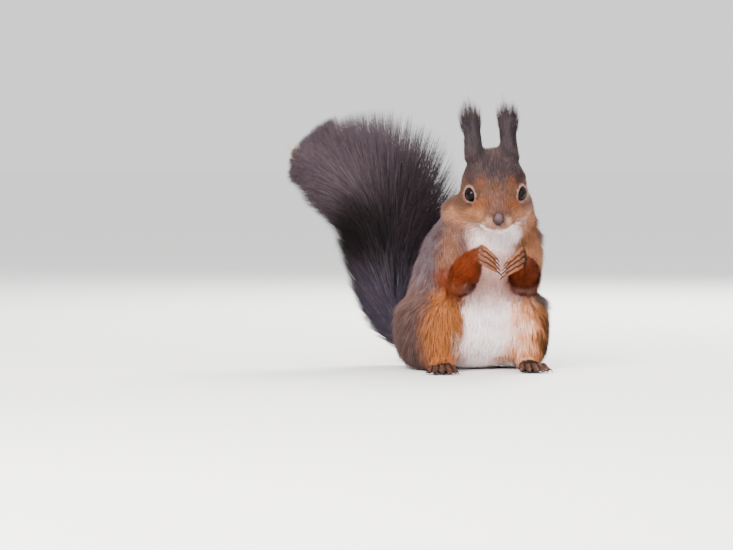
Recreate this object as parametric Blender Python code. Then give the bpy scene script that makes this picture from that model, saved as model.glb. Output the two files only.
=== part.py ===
"""Red squirrel sitting upright with its hands cupped at its chin: a life-size museum model.

Stations and points are in millimetres and become metres in `loft`. +Z is up and z = 0 is the
floor. In the body's own frame the animal faces -Y and its left side is +X. The solids are the
outside of the coat: every part is a loft through a few cross-sections, trimmed by its
neighbours so that they meet across a thin gap.
"""

import math

import bmesh
import bpy
import numpy as np
from mathutils import Vector

MM = 0.001
GAP = 0.3 * MM  # clear space between neighbouring solids
SIDES = {"right": -1, "left": 1}  # the animal's own sides
FINE_SIDES = 15  # a loft with more sides than this gets two rings in each rounded end
CAP_ANGLES = {False: (math.pi / 4,), True: (math.pi / 5, math.pi / 3)}

# Pose
BODY_YAW = math.radians(18)  # the body faces to its left of the line of sight
HEAD_AT = Vector((13.2, -36, 108.3)) * MM  # midway between the eyes
HEAD_TURN = (math.radians(40), math.radians(-1.2), math.radians(3))  # nose down, roll, yaw
GRIP_AT = Vector((15.2, -58, 80.5)) * MM  # what the hands are cupped around
GRIP_YAW = math.radians(4)

# Head, in its own frame: -Y to the nose, +Z to the crown
EYE_RADIUS = 5.1
EYE_AT = (13.5, 0.6, 0.4)
EYE_AXIS = Vector((0.80, -0.50, 0.33)).normalized()
ORBIT_RADIUS = 7.6  # the dish of short fur round each eye
ORBIT_REACH = 9.3  # how far outside the eye's centre that dish is centred
CHEEK_AT = (11.6, 5, -10)
CHEEK_RADIUS = 12.2
EAR_ROOT = (10.6, 17.0, 12.5)
EAR_SHIFT = -1.0  # both ears are swung to the right, root and tip
EAR_SWING = -0.07
EAR_LEAN = (0.03, 0.64, 0.77)  # up in the world, as the head is pitched
EAR_LENGTH = 24
TUFT_LENGTH = 13.5

# Arms, in the body's frame
SHOULDER = {"right": (-18, -9, 83), "left": (29, -8, 83)}
ELBOW = {"right": (-20.5, -32, 54.5), "left": (20.5, -33.5, 54.5)}
WRIST = {"right": (-17.4, -52.5, 73), "left": (14.0, -56.5, 68.5)}

# Hands and feet
HAND_LOWER = {"right": 0, "left": 2.6}  # how far each hand hangs below the grip's middle
FOOT_TURN = {"right": math.radians(-17), "left": math.radians(-6)}
FOOT_AT = (26, -14, 0)
THIGH_EXTRA = {"right": 0, "left": -1.5}  # added to the haunch's half-width
FINGERS = 4
TOES = 5
FINGER_RADIUS = (1.5, 1.1)
TOE_RADIUS = (2.3, 1.7)
CLAW_RADIUS = (0.75, 0.3)
HAND_CLAW = 3.2
FOOT_CLAW = 4.6

MATERIALS = {  # colour, roughness
    "coat_russet": ((0.36, 0.13, 0.045), 0.85),
    "coat_brown": ((0.20, 0.12, 0.09), 0.85),
    "coat_tail": ((0.085, 0.055, 0.05), 0.85),
    "coat_rust": ((0.42, 0.12, 0.03), 0.85),
    "skin_paw": ((0.30, 0.15, 0.09), 0.7),
    "eye_black": ((0.012, 0.008, 0.007), 0.08),
    "nose_skin": ((0.16, 0.075, 0.07), 0.45),
    "claw_horn": ((0.05, 0.035, 0.03), 0.35),
}


def clear_scene():
    for old in list(bpy.data.objects):
        bpy.data.objects.remove(old)


def make_materials():
    made = {}
    for name, (colour, roughness) in MATERIALS.items():
        material = bpy.data.materials.new(name)
        material.use_nodes = True
        shader = material.node_tree.nodes["Principled BSDF"]
        shader.inputs["Base Color"].default_value = (*colour, 1)
        shader.inputs["Roughness"].default_value = roughness
        shader.inputs["Metallic"].default_value = 0
        made[name] = material
    return made


def spline(rows, count):
    """Rows of numbers, resampled to count rows on a Catmull-Rom curve through them."""
    rows = np.asarray(rows, float)
    ends = np.vstack([2 * rows[0] - rows[1], rows, 2 * rows[-1] - rows[-2]])
    place = np.linspace(0, len(rows) - 1, count)
    cell = np.minimum(place.astype(int), len(rows) - 2)
    t = (place - cell)[:, None]
    a, b, c, d = (ends[cell + k] for k in range(4))
    return b + 0.5 * t * (c - a + t * (2 * a - 5 * b + 4 * c - d + t * (3 * (b - c) + d - a)))


def unit(vectors):
    return vectors / np.linalg.norm(vectors, axis=-1, keepdims=True)


def frames(centres, side):
    """Tangent, sideways and upward directions at each point of a path."""
    tangent = unit(np.gradient(centres, axis=0))
    side = np.broadcast_to(np.asarray(side, float), tangent.shape)
    across = unit(side - tangent * (side * tangent).sum(1, keepdims=True))
    return tangent, across, np.cross(tangent, across)


def section(centre, across, upward, sizes, sides, squareness):
    """One ring: an oval with its own half-width, upper reach and lower reach."""
    angle = np.arange(sides) * math.tau / sides
    flat = 2 / squareness
    x = np.sign(np.cos(angle)) * np.abs(np.cos(angle)) ** flat
    y = np.sign(np.sin(angle)) * np.abs(np.sin(angle)) ** flat
    width, upper, lower = sizes
    reach = np.where(y > 0, upper, lower)
    return centre + np.outer(x * width, across) + np.outer(y * reach, upward)


def loft(name, rows, material, side=(1, 0, 0), rings=12, sides=20, caps=(4, 4),
         squareness=2.0, pose=None, axes=None):
    """A closed tube through rows of (x, y, z, half-width, upper, lower), in millimetres.

    caps gives how far each end bulges past its last row; 0 leaves that end flat. Rows that
    come with their own axes are already resampled.
    """
    if axes is None:
        rows = spline(rows, rings)
        axes = frames(rows[:, :3], side)
    tangent, across, upward = axes
    loops = [
        section(rows[k, :3], across[k], upward[k], rows[k, 3:], sides, squareness)
        for k in range(rings)
    ]
    poles = {}
    for end, way, bulge in ((0, -1, caps[0]), (-1, 1, caps[1])):
        if not bulge:
            continue
        for angle in CAP_ANGLES[sides > FINE_SIDES]:
            centre = rows[end, :3] + tangent[end] * way * bulge * math.sin(angle)
            sizes = rows[end, 3:] * math.cos(angle)
            ring = section(centre, across[end], upward[end], sizes, sides, squareness)
            loops.insert(0 if way < 0 else len(loops), ring)
        poles[way] = rows[end, :3] + tangent[end] * way * bulge
    mesh = bmesh.new()
    verts = [[mesh.verts.new(Vector(p) * MM) for p in loop] for loop in loops]
    for low, high in zip(verts, verts[1:]):
        for k in range(sides):
            after = (k + 1) % sides
            mesh.faces.new((low[k], low[after], high[after], high[k]))
    for way, loop in ((-1, verts[0]), (1, verts[-1])):
        if way in poles:
            pole = mesh.verts.new(Vector(poles[way]) * MM)
            for k in range(sides):
                mesh.faces.new((loop[k], loop[(k + 1) % sides], pole))
        else:
            mesh.faces.new(loop)
    return finish(name, mesh, material, pose)


def ball(name, centre, radius, material, pose, segments=20, squash=(1, 1, 1)):
    mesh = bmesh.new()
    bmesh.ops.create_uvsphere(
        mesh, u_segments=segments, v_segments=segments // 2, radius=radius * MM
    )
    for vert in mesh.verts:
        vert.co = Vector(a * b for a, b in zip(vert.co, squash)) + Vector(centre) * MM
    return finish(name, mesh, material, pose)


def finish(name, mesh, material, pose):
    """Turns a bmesh into a smooth-shaded object that hangs on its pose's empty."""
    bmesh.ops.recalc_face_normals(mesh, faces=mesh.faces)
    data = bpy.data.meshes.new(name)
    mesh.to_mesh(data)
    mesh.free()
    data.shade_smooth()
    data.materials.append(material)
    made = bpy.data.objects.new(name, data)
    bpy.context.scene.collection.objects.link(made)
    made.parent = pose
    return made


def as_helper(obj):
    obj.hide_render = True
    obj.display_type = "WIRE"
    return obj


def grown(obj, by=GAP):
    """A hidden copy of obj's own form, a little larger all round, to cut its neighbours with."""
    copy = bpy.data.objects.new(obj.name + "_cutter", obj.data.copy())
    bpy.context.scene.collection.objects.link(copy)
    copy.parent = obj.parent
    normals = [vert.normal.copy() for vert in copy.data.vertices]
    for vert, normal in zip(copy.data.vertices, normals):
        vert.co += normal * by
    return as_helper(copy)


def boolean(obj, other, operation):
    """One Boolean step. EXACT drops bodies or leaves edges open where round forms graze."""
    step = obj.modifiers.new(f"{operation.lower()}_{other.name}", "BOOLEAN")
    step.operation = operation
    step.object = other
    step.solver = "MANIFOLD"


def trim(obj, *cutters):
    for cutter in cutters:
        boolean(obj, cutter, "DIFFERENCE")


def weld(obj, *pieces):
    for piece in pieces:
        boolean(obj, as_helper(piece), "UNION")


def empty(name, parent=None, location=(0, 0, 0), rotation=(0, 0, 0)):
    made = bpy.data.objects.new(name, None)
    bpy.context.scene.collection.objects.link(made)
    made.parent = parent
    made.location = location
    made.rotation_euler = rotation
    return made


def floor_block(pose):
    """Everything under the floor, which leaves small flats where the animal rests."""
    mesh = bmesh.new()
    bmesh.ops.create_cube(mesh, size=1)
    for vert in mesh.verts:
        vert.co.z -= 0.5
    block = finish("floor_cutter", mesh, bpy.data.materials["coat_brown"], pose)
    return as_helper(block)


def make_trunk(looks, pose, around):
    """Pear-shaped body, from the rump on the floor up to the shoulders."""
    rows = [
        (0, 5, 6, 28, 27, 23),
        (0, 6, 16, 37, 35.5, 32),
        (0, 5, 32, 41, 37, 34),
        (0.5, 2, 50, 39.5, 36, 31),
        (2, -2, 68, 36, 32, 27),
        (4, -6, 84, 30.5, 27, 22),
        (5, -9, 95, 25, 21, 18),
    ]
    trunk = loft("trunk", rows, looks["coat_brown"], rings=9, sides=20, caps=(6.4, 6),
                 squareness=2.15, pose=pose)
    trim(trunk, *around)
    return trunk


def make_head(looks, pose):
    """Skull and muzzle in one form from the back of the head to the nose, with full cheeks."""
    rows = [
        (0, 30, 0, 12, 14.5, 14),
        (0, 24, -1, 17, 20.5, 18),
        (0, 14, -2.5, 20.8, 19.5, 19),
        (0, 5, -3.8, 21.2, 16.8, 18.2),
        (0, -3, -4.4, 18, 13.8, 16),
        (0, -10.5, -4.8, 15, 11.4, 13.8),
        (0, -16.5, -4.4, 12.3, 9.4, 11.8),
        (0, -20.8, -3.8, 9.6, 7, 9),
    ]
    head = loft("head", rows, looks["coat_russet"], rings=11, sides=20, caps=(5, 2.8),
                squareness=2.1, pose=pose)
    cheeks = [
        ball(f"cheek_{side}", np.array(CHEEK_AT) * (sign, 1, 1), CHEEK_RADIUS,
             looks["coat_russet"], pose, segments=12, squash=(1, 1.15, 1))
        for side, sign in SIDES.items()
    ]
    weld(head, *cheeks)
    cutter = grown(head)
    weld(cutter, *(grown(cheek) for cheek in cheeks))
    return head, cutter


def make_eye(looks, pose, head, side, sign):
    """Eyeball in a socket of its own size, at the middle of a shallow dish in the fur."""
    centre = Vector(EYE_AT)
    centre.x *= sign
    axis = EYE_AXIS.copy()
    axis.x *= sign
    eye = ball(f"eye_{side}", centre, EYE_RADIUS, looks["eye_black"], pose, segments=14)
    orbit = ball(f"orbit_{side}", centre + axis * ORBIT_REACH, ORBIT_RADIUS,
                 looks["coat_russet"], pose, segments=12)
    trim(head, as_helper(orbit), grown(eye))


def make_nose(looks, pose, head):
    """Bare pad at the muzzle's tip, wider than high."""
    nose = ball("nose", (0, -22.8, -1.4), 3.6, looks["nose_skin"], pose, segments=10,
                squash=(1.0, 0.72, 0.80))
    trim(head, grown(nose))


def make_ear(looks, pose, around, side, sign):
    """Cupped ear with the winter tuft standing on its tip."""
    root = np.array(EAR_ROOT) * (sign, 1, 1) + (EAR_SHIFT, 0, 0)
    lean = unit(np.array(EAR_LEAN) * (sign, 1, 1) + (EAR_SWING, 0, 0))
    opening = unit(np.array((0.80 * sign, -0.55, 0.22)))

    def rise(height, width, depth, outward=0.0):
        return (*(root + lean * height + opening * outward), width, depth, depth)

    rows = [
        rise(0, 6.2, 8.4),
        rise(0.35 * EAR_LENGTH, 6.4, 8.8),
        rise(0.7 * EAR_LENGTH, 5.9, 7.2),
        rise(EAR_LENGTH, 5.6, 4.6),
    ]
    ear = loft(f"ear_{side}", rows, looks["coat_brown"], rings=5, sides=12, caps=(2, 2.2),
               pose=pose)
    scoop_rows = [
        rise(0.30 * EAR_LENGTH, 3.4, 3.6, 6.6),
        rise(0.55 * EAR_LENGTH, 4.4, 4.8, 6.8),
        rise(0.85 * EAR_LENGTH, 3.2, 3.4, 6.4),
    ]
    scoop = loft(f"ear_scoop_{side}", scoop_rows, looks["coat_brown"], rings=4, sides=10,
                 caps=(4, 3), pose=pose)
    trim(ear, around, as_helper(scoop))

    tuft_rows = [
        rise(EAR_LENGTH - 2, 5.4, 4.0),
        rise(EAR_LENGTH + 0.30 * TUFT_LENGTH, 6.2, 3.4),
        rise(EAR_LENGTH + 0.66 * TUFT_LENGTH, 5.6, 2.6),
        rise(EAR_LENGTH + TUFT_LENGTH, 3.0, 1.4),
    ]
    tuft = loft(f"ear_tuft_{side}", tuft_rows, looks["coat_tail"], rings=4, sides=10,
                caps=(1, 2), pose=pose)
    trim(tuft, grown(ear))


def make_neck(looks, pose, around):
    """Collar of thick fur between the shoulders and the back of the head."""
    rows = [
        (3, -5, 80, 26, 26, 20),
        (6, -11, 91, 31, 28, 22),
        (8, -15, 101, 27.5, 25, 21),
        (8, -18, 111, 20, 20, 17),
    ]
    neck = loft("neck", rows, looks["coat_brown"], rings=6, sides=16, caps=(5, 6), pose=pose)
    trim(neck, *around)
    return neck


def make_arm(looks, pose, around, side, sign):
    """Upper arm against the chest and forearm folded up to the chin."""
    shoulder, elbow, wrist = SHOULDER[side], ELBOW[side], WRIST[side]
    middle = np.array(shoulder) * 0.5 + np.array(elbow) * 0.5 + (sign * 2, 0, 0)
    upper_rows = [
        (*shoulder, 12, 11, 11),
        (*middle, 11.5, 11, 11),
        (*elbow, 9.5, 9, 9),
    ]
    upper = loft(f"upper_arm_{side}", upper_rows, looks["coat_rust"], rings=4, sides=12,
                 caps=(7, 5.5), pose=pose)
    middle = np.array(elbow) * 0.45 + np.array(wrist) * 0.55 + (sign * 0.5, -1, -1)
    fore_rows = [
        (*(np.array(elbow) + (0, 1, -1)), 11.6, 10.6, 10.6),
        (*middle, 10.8, 9.8, 9.8),
        (*wrist, 5.6, 5.0, 5.0),
    ]
    fore = loft(f"forearm_{side}", fore_rows, looks["coat_rust"], rings=4, sides=12,
                caps=(5.5, 2.5), pose=pose)
    trim(fore, *around)
    trim(upper, grown(fore), *around)
    return upper, fore


def digit(name, points, radii, material, pose, sides=6, caps=(1, 1.2)):
    """Finger, toe or claw: a round tube that tapers along a bent line."""
    steps = np.linspace(radii[0], radii[1], len(points))
    rows = [(*point, r, r, r) for point, r in zip(points, steps)]
    return loft(name, rows, material, side=(0.2, 0.3, 1), rings=len(rows), sides=sides, caps=caps,
                pose=pose)


def claw(name, root, way, down, length, material, pose):
    """Hooked horn that starts just clear of the digit's tip."""
    root, way, down = (np.asarray(v, float) for v in (root, way, down))
    middle = root + way * length * 0.5 + down * length * 0.07
    tip = root + way * length * 0.92 + down * length * 0.38
    return digit(name, (root, middle, tip), CLAW_RADIUS, material, pose, sides=5,
                 caps=(0.3, 0.3))


def make_hand(looks, pose, around, side, sign):
    """Palm beside an empty grip, with the fingers curled under it towards the other hand."""
    at = np.array((0, 0, -HAND_LOWER[side]))
    wrist = np.array((sign * 16.6, 5.0, -9.5)) + at
    heel = np.array((sign * 15.0, 2.2, -8.0)) + at
    knuckles = np.array((sign * 12.6, -2.6, -6.6)) + at
    rows = [
        (*wrist, 4.6, 3.6, 3.6),
        (*heel, 6.0, 3.4, 3.2),
        (*knuckles, 7.4, 2.4, 2.2),
    ]
    palm = loft(f"hand_{side}", rows, looks["skin_paw"], side=(0, 0, 1), rings=4, sides=10,
                caps=(1.5, 1.5), pose=pose)
    fingers = []
    for k in range(FINGERS):
        root = at + (sign * 12.8, -2.4, -1.2 - 3.7 * k)
        tip = at + (sign * (4.9 - 0.45 * k), -7.4 + 1.1 * k, -8.2 - 3.0 * k)
        bend = (root + tip) / 2 + (sign * 1.3, -2.6, 0.9)
        fingers.append(
            digit(f"finger_{side}_{k + 1}", (root, bend, tip), FINGER_RADIUS,
                  looks["skin_paw"], pose)
        )
        way = unit(tip - bend)
        claw(f"claw_hand_{side}_{k + 1}", tip + way * 1.75, way, (0, 0.6, -0.8), HAND_CLAW,
             looks["claw_horn"], pose)
    weld(palm, *fingers)
    trim(palm, *around)


def make_thigh(looks, pose, around, side, sign):
    """Haunch: the folded hind leg, from the hip forward to the knee."""
    extra = THIGH_EXTRA[side]
    rows = [
        (sign * 25, 27, 20, 15 + extra, 22, 20),
        (sign * 28.5, 12, 23, 19.5 + extra, 29, 23.8),
        (sign * 30, -6, 24, 18.5 + extra, 30, 24.8),
        (sign * 29, -24, 22, 15.5 + extra, 24, 22.4),
    ]
    thigh = loft(f"thigh_{side}", rows, looks["coat_russet"], rings=5, sides=16,
                 caps=(12, 12), squareness=2.25, pose=pose)
    trim(thigh, *around)
    return thigh


def make_foot(looks, pose, around, side, sign):
    """Long flat hind foot with five toes, pointing forward from under the haunch."""
    foot_at = Vector(FOOT_AT) * MM
    foot_at.x *= sign
    foot_pose = empty(f"foot_pose_{side}", pose, foot_at, (0, 0, FOOT_TURN[side]))
    rows = [
        (0, 0, 4.6, 4.8, 5, 5.2),
        (0, -13, 4.4, 5.6, 4.6, 5),
        (0, -25, 3.8, 7.2, 3.8, 4.6),
        (0, -31, 3.2, 7.4, 3.0, 3.8),
    ]
    foot = loft(f"foot_{side}", rows, looks["skin_paw"], rings=5, sides=12, caps=(3, 2),
                pose=foot_pose)
    toes = []
    middle = (TOES - 1) / 2
    for k in range(TOES):
        spread = (k - middle) / middle
        length = 13.5 - 4.2 * spread**2
        root = np.array((spread * 5.2, -28.5, 2.7))
        way = np.array((math.sin(0.30 * spread), -math.cos(0.30 * spread), 0))
        bend = root + way * length * 0.55 + (0, 0, 1.5)
        tip = root + way * length + (0, 0, -0.5)
        toes.append(
            digit(f"toe_{side}_{k + 1}", (root, bend, tip), TOE_RADIUS, looks["skin_paw"],
                  foot_pose)
        )
        claw(f"claw_foot_{side}_{k + 1}", tip + way * 2.3 + (0, 0, 0.5), way, (0, 0, -1),
             FOOT_CLAW, looks["claw_horn"], foot_pose)
    weld(foot, *toes)
    trim(foot, *around)


def make_tail(looks, pose, around):
    """Bushy tail in four lengths: out to the right, up behind the back and over."""
    rows = [  # world frame; half thickness, then the reach inside and outside the curve
        (-24, 35, 11, 11, 12, 12),
        (-40, 42, 19, 14.5, 15, 16),
        (-48, 44, 36, 16, 19.5, 19),
        (-50, 44, 57, 17, 23, 24),
        (-53, 45, 78, 18, 25, 38),
        (-60, 47, 96, 19, 25, 51),
        (-73, 50, 111, 20, 25, 48),
        (-87, 54, 122, 18, 21, 39),
        (-100, 58, 131, 13, 15, 27),
    ]
    names = ("tail_root", "tail_lower", "tail_upper", "tail_tip")
    rings_each = 5
    path = spline(rows, len(names) * (rings_each - 1) + 1)
    axes = frames(path[:, :3], (0.25, 1, 0))
    tangent = axes[0]
    for k, name in enumerate(names):
        first, last = k * (rings_each - 1), (k + 1) * (rings_each - 1)
        piece = path[first:last + 1].copy()
        half_gap = GAP / MM / 2
        piece[0, :3] += tangent[first] * (half_gap if k else 0)
        piece[-1, :3] -= tangent[last] * (half_gap if name != names[-1] else 0)
        caps = (9 if k == 0 else 0, 14 if name == names[-1] else 0)
        length = loft(name, piece, looks["coat_tail"], rings=rings_each, sides=18, caps=caps,
                      pose=pose, axes=[axis[first:last + 1] for axis in axes])
        trim(length, *around)


def stand_on_origin(root):
    """Moves the whole animal so that the middle of its box, at floor level, is the origin."""
    bpy.context.view_layer.update()
    graph = bpy.context.evaluated_depsgraph_get()
    corners = []
    for obj in bpy.context.scene.objects:
        if obj.type == "MESH" and not obj.hide_render:
            shown = obj.evaluated_get(graph)
            corners += [shown.matrix_world @ vert.co for vert in shown.data.vertices]
    low, high = np.min(corners, axis=0), np.max(corners, axis=0)
    root.location = -Vector(((low[0] + high[0]) / 2, (low[1] + high[1]) / 2, low[2]))


def main():
    clear_scene()
    looks = make_materials()
    root = empty("squirrel")
    body = empty("body_pose", root, rotation=(0, 0, BODY_YAW))
    skull = empty("head_pose", root, HEAD_AT, HEAD_TURN)
    grip = empty("grip_pose", root, GRIP_AT, (0, 0, GRIP_YAW))
    floor = floor_block(root)

    head, head_cutter = make_head(looks, skull)
    make_nose(looks, skull, head)
    for side, sign in SIDES.items():
        make_eye(looks, skull, head, side, sign)
        make_ear(looks, skull, head_cutter, side, sign)
    trunk = make_trunk(looks, body, [floor, head_cutter])
    core = [grown(trunk), head_cutter]
    shoulders, thighs = [], []
    for side, sign in SIDES.items():
        upper, fore = make_arm(looks, body, core, side, sign)
        make_hand(looks, grip, [grown(fore), head_cutter], side, sign)
        arm = [grown(upper), grown(fore)]
        thigh = make_thigh(looks, body, [floor, core[0], *arm], side, sign)
        make_foot(looks, body, [floor, grown(thigh), core[0]], side, sign)
        shoulders += arm
        thighs.append(grown(thigh))
    neck = make_neck(looks, body, [*core, *shoulders])
    make_tail(looks, root, [floor, core[0], grown(neck), *thighs])
    stand_on_origin(root)


main()
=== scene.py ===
import math

import bmesh
import bpy
import numpy as np
from mathutils import Euler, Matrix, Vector


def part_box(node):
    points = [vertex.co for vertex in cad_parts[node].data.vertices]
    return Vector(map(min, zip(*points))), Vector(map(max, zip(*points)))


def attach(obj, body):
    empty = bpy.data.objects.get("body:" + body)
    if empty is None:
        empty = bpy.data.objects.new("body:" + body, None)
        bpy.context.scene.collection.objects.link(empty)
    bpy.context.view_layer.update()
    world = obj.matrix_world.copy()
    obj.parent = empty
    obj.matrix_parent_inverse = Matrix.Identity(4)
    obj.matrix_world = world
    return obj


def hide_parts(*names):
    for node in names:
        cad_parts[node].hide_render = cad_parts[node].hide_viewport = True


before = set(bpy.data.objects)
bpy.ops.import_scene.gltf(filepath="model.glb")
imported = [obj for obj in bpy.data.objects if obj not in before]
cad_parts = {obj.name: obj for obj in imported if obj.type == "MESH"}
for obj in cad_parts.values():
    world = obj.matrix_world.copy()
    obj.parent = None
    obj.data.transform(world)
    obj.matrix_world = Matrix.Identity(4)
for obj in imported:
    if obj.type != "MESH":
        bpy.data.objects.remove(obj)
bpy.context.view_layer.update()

scene = bpy.context.scene
mm = 0.001
sides = {"right": -1, "left": 1}  # the animal's own sides
share = 1.0  # trials grow part of the coat only


# each row divided by its length
def unit(rows):
    return rows / np.maximum(np.linalg.norm(rows, axis=-1, keepdims=True), 1e-12)


# 0 before low, 1 after high, an S-curve between; low may be the larger one
def ramp(x, low, high):
    t = np.clip((x - low) / (high - low), 0, 1)
    return t * t * (3 - 2 * t)


# a moved towards b by the share t of the way, row by row
def blend(a, b, t):
    return a + (np.asarray(b) - a) * np.asarray(t)[:, None]


# eight sine waves in random directions, about size long, added up: roughly -1 to 1
def ripple(points, size, seed):
    pick = np.random.default_rng(seed)
    ways = unit(pick.normal(size=(8, 3))) * pick.uniform(0.7, 1.4, (8, 1)) * math.tau / size
    return np.sin(points @ ways.T + pick.uniform(0, math.tau, 8)).sum(1) / 4


# count places along a Catmull-Rom curve through the rows
def curveThrough(rows, places):
    rows = np.asarray(rows, float)
    ends = np.vstack([2 * rows[0] - rows[1], rows, 2 * rows[-1] - rows[-2]])
    cell = np.clip(np.asarray(places).astype(int), 0, len(rows) - 2)
    t = (places - cell)[:, None]
    a, b, c, d = (ends[cell + k] for k in range(4))
    return b + 0.5 * t * (c - a + t * (2 * a - 5 * b + 4 * c - d + t * (3 * (b - c) + d - a)))


# puts the rows into a mesh as its points
def setPoints(mesh, points):
    mesh.vertices.foreach_set("co", np.asarray(points, np.float32).ravel())


# a mesh object from whole arrays of points and of faces, all with equally many corners
def makePiece(name, points, faces, material, smooth=True):
    mesh = bpy.data.meshes.new(name)
    count, corners = faces.shape
    mesh.vertices.add(len(points))
    setPoints(mesh, points)
    mesh.loops.add(count * corners)
    mesh.loops.foreach_set("vertex_index", faces.astype(np.int32).ravel())
    mesh.polygons.add(count)
    mesh.polygons.foreach_set("loop_start", np.arange(count, dtype=np.int32) * corners)
    mesh.update(calc_edges=True)
    mesh.validate()
    if smooth:
        mesh.shade_smooth()
    mesh.materials.append(material)
    piece = bpy.data.objects.new(name, mesh)
    scene.collection.objects.link(piece)
    return piece


# one colour for each point, in the attribute that the materials read
def setColours(mesh, colours):
    layer = mesh.color_attributes.new("markings", "FLOAT_COLOR", "POINT")
    rows = np.ones((len(mesh.vertices), 4), np.float32)
    rows[:, :3] = colours
    layer.data.foreach_set("color", rows.ravel())


# a mesh's points and the normals there, as rows
def meshArrays(mesh):
    points = np.empty(len(mesh.vertices) * 3, np.float32)
    mesh.vertices.foreach_get("co", points)
    normals = np.empty(len(mesh.vertices) * 3, np.float32)
    mesh.vertex_normals.foreach_get("vector", normals)
    return points.reshape(-1, 3).astype(float), normals.reshape(-1, 3).astype(float)


# Triangles over a stack of rings, each closed on itself, and to the two points that follow the
# rings' own and close the stack's ends.
def ringFaces(rings, count):
    k = np.arange(count)
    after = (k + 1) % count
    start = np.arange(rings - 1)[:, None] * count
    low, turn = (start + k).ravel(), (start + after).ravel()
    last = (rings - 1) * count
    foot, top = np.full(count, rings * count), np.full(count, rings * count + 1)
    triangles = ((low, turn, turn + count), (low, turn + count, low + count),
                 (after, k, foot), (last + k, last + after, top))
    return np.vstack([np.stack(corners, 1) for corners in triangles])


# rings of count points at the given radii round each point of a path, closed at both ends
def tube(path, radii, count):
    path = np.asarray(path, float)
    tangent = unit(np.gradient(path, axis=0))
    side = np.array((0.31, 0.2, 0.93))  # a way that no path here runs along
    across = unit(side - tangent * (tangent @ side)[:, None])
    upward = np.cross(tangent, across)
    angle = np.arange(count) * math.tau / count
    radii = np.broadcast_to(radii, len(path))
    ring = (np.cos(angle)[None, :, None] * across[:, None]
            + np.sin(angle)[None, :, None] * upward[:, None])
    points = (path[:, None] + ring * radii[:, None, None]).reshape(-1, 3)
    return np.vstack([points, path[0], path[-1]]), ringFaces(len(path), count)


# The head and the body each have a frame of their own: -Y is forward, +Z is up, millimetres.
pose = {
    "bodyYaw": 18,
    "headPitch": 40,
    "headRoll": -1.2,
    "headYaw": 3,
    "headAt": (13.2, -36, 108.3),  # midway between the eyes, from the body's origin
    "eyeAt": (13.5, 0.6, 0.4),  # the left eye in the head's frame
    "eyeRadius": 5.1,
    "eyeAxis": (0.67, -0.60, 0.435),
    "gripAt": (15.2, -58, 80.5),  # what the hands are cupped around
    "gripYaw": 4,
    "handLower": {"right": 0, "left": 2.6},
    "footAt": (26, -14, 0),  # in the body's frame
    "footTurn": {"right": -17, "left": -6},
}


# the matrix that turns by these degrees round X, then Y, then Z
def turned(x, y, z):
    return np.array(Euler([math.radians(angle) for angle in (x, y, z)]).to_matrix())


# half way between the two ends of a solid's box
def boxMiddle(node):
    low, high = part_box(node)
    return (np.array(low) + np.array(high)) / 2


bodyTurn = turned(0, 0, pose["bodyYaw"])
headTurn = turned(pose["headPitch"], pose["headRoll"], pose["headYaw"])
eyeMiddle = (boxMiddle("eye_left") + boxMiddle("eye_right")) / 2
home = eyeMiddle - (np.array(pose["headAt"]) +
                    headTurn @ (0, pose["eyeAt"][1], pose["eyeAt"][2])) * mm  # body's origin
headHome = home + np.array(pose["headAt"]) * mm


# from the head's frame to the model's: turned, made metres and moved to the head
def fromHead(rows):
    return headHome + (np.asarray(rows, float) @ headTurn.T) * mm


# from the model's frame to the head's: moved off the head, made millimetres and turned back
def toHead(points):
    return (points - headHome) / mm @ headTurn


# the same as fromHead for the body's frame
def fromBody(rows):
    return home + (np.asarray(rows, float) @ bodyTurn.T) * mm


# the same as toHead for the body's frame
def toBody(points):
    return (points - home) / mm @ bodyTurn


# the left ear's root and lean, mirrored for the right; shift and swing go the same way for both
ear = {"root": (10.6, 17.0, 12.5), "lean": (0.03, 0.64, 0.77), "shift": -1.0, "swing": -0.07,
       "length": 24, "slim": 0.07}
shoulders = {"right": (-18, -9, 83), "left": (29, -8, 83)}  # in the body's frame
elbows = {"right": (-20.5, -32, 54.5), "left": (20.5, -33.5, 54.5)}
wrists = {"right": (-17.4, -52.5, 73), "left": (14.0, -56.5, 68.5)}
fingers = {"knuckle": (12.8, -2.4, -1.2), "knuckleStep": (0, 0, -3.7),
           "tip": (4.9, -7.4, -8.2), "tipStep": (-0.45, 1.1, -3.0), "bend": (1.3, -2.6, 0.9)}
toes = {"root": (5.2, -28.5, 2.7), "fan": 0.30, "length": 13.5, "outerShorter": 4.2,
        "bendAt": 0.55, "arch": 1.5, "drop": 0.5}
digitRadius = {"hand": (1.3, 0.95), "foot": (2.0, 1.4)}  # at the root and at the tip


# the line of each finger and toe: its root, its bend, its tip and its claw
def digitLines(side, sign):
    lines = {}
    own = np.array((sign, 1, 1))
    at = np.array((0, 0, -pose["handLower"][side]))
    for k in range(4):
        root = at + own * (np.array(fingers["knuckle"]) + np.array(fingers["knuckleStep"]) * k)
        tip = at + own * (np.array(fingers["tip"]) + np.array(fingers["tipStep"]) * k)
        bend = (root + tip) / 2 + own * fingers["bend"]
        line = np.array([root, bend, tip]) @ turned(0, 0, pose["gripYaw"]).T + pose["gripAt"]
        lines["hand", k] = home + line * mm
    for k in range(5):
        spread = (k - 2) / 2
        length = toes["length"] - toes["outerShorter"] * spread ** 2
        root = np.array(toes["root"]) * (spread, 1, 1)
        way = np.array((math.sin(toes["fan"] * spread), -math.cos(toes["fan"] * spread), 0))
        line = [root, root + way * length * toes["bendAt"] + (0, 0, toes["arch"]),
                root + way * length - (0, 0, toes["drop"])]
        line = np.array(line) @ turned(0, 0, pose["footTurn"][side]).T + own * pose["footAt"]
        lines["foot", k] = fromBody(line)
    return {key: np.vstack([line, boxMiddle(f"claw_{key[0]}_{side}_{key[1] + 1}")])
            for key, line in lines.items()}


digits = {side: digitLines(side, sign) for side, sign in sides.items()}


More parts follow.
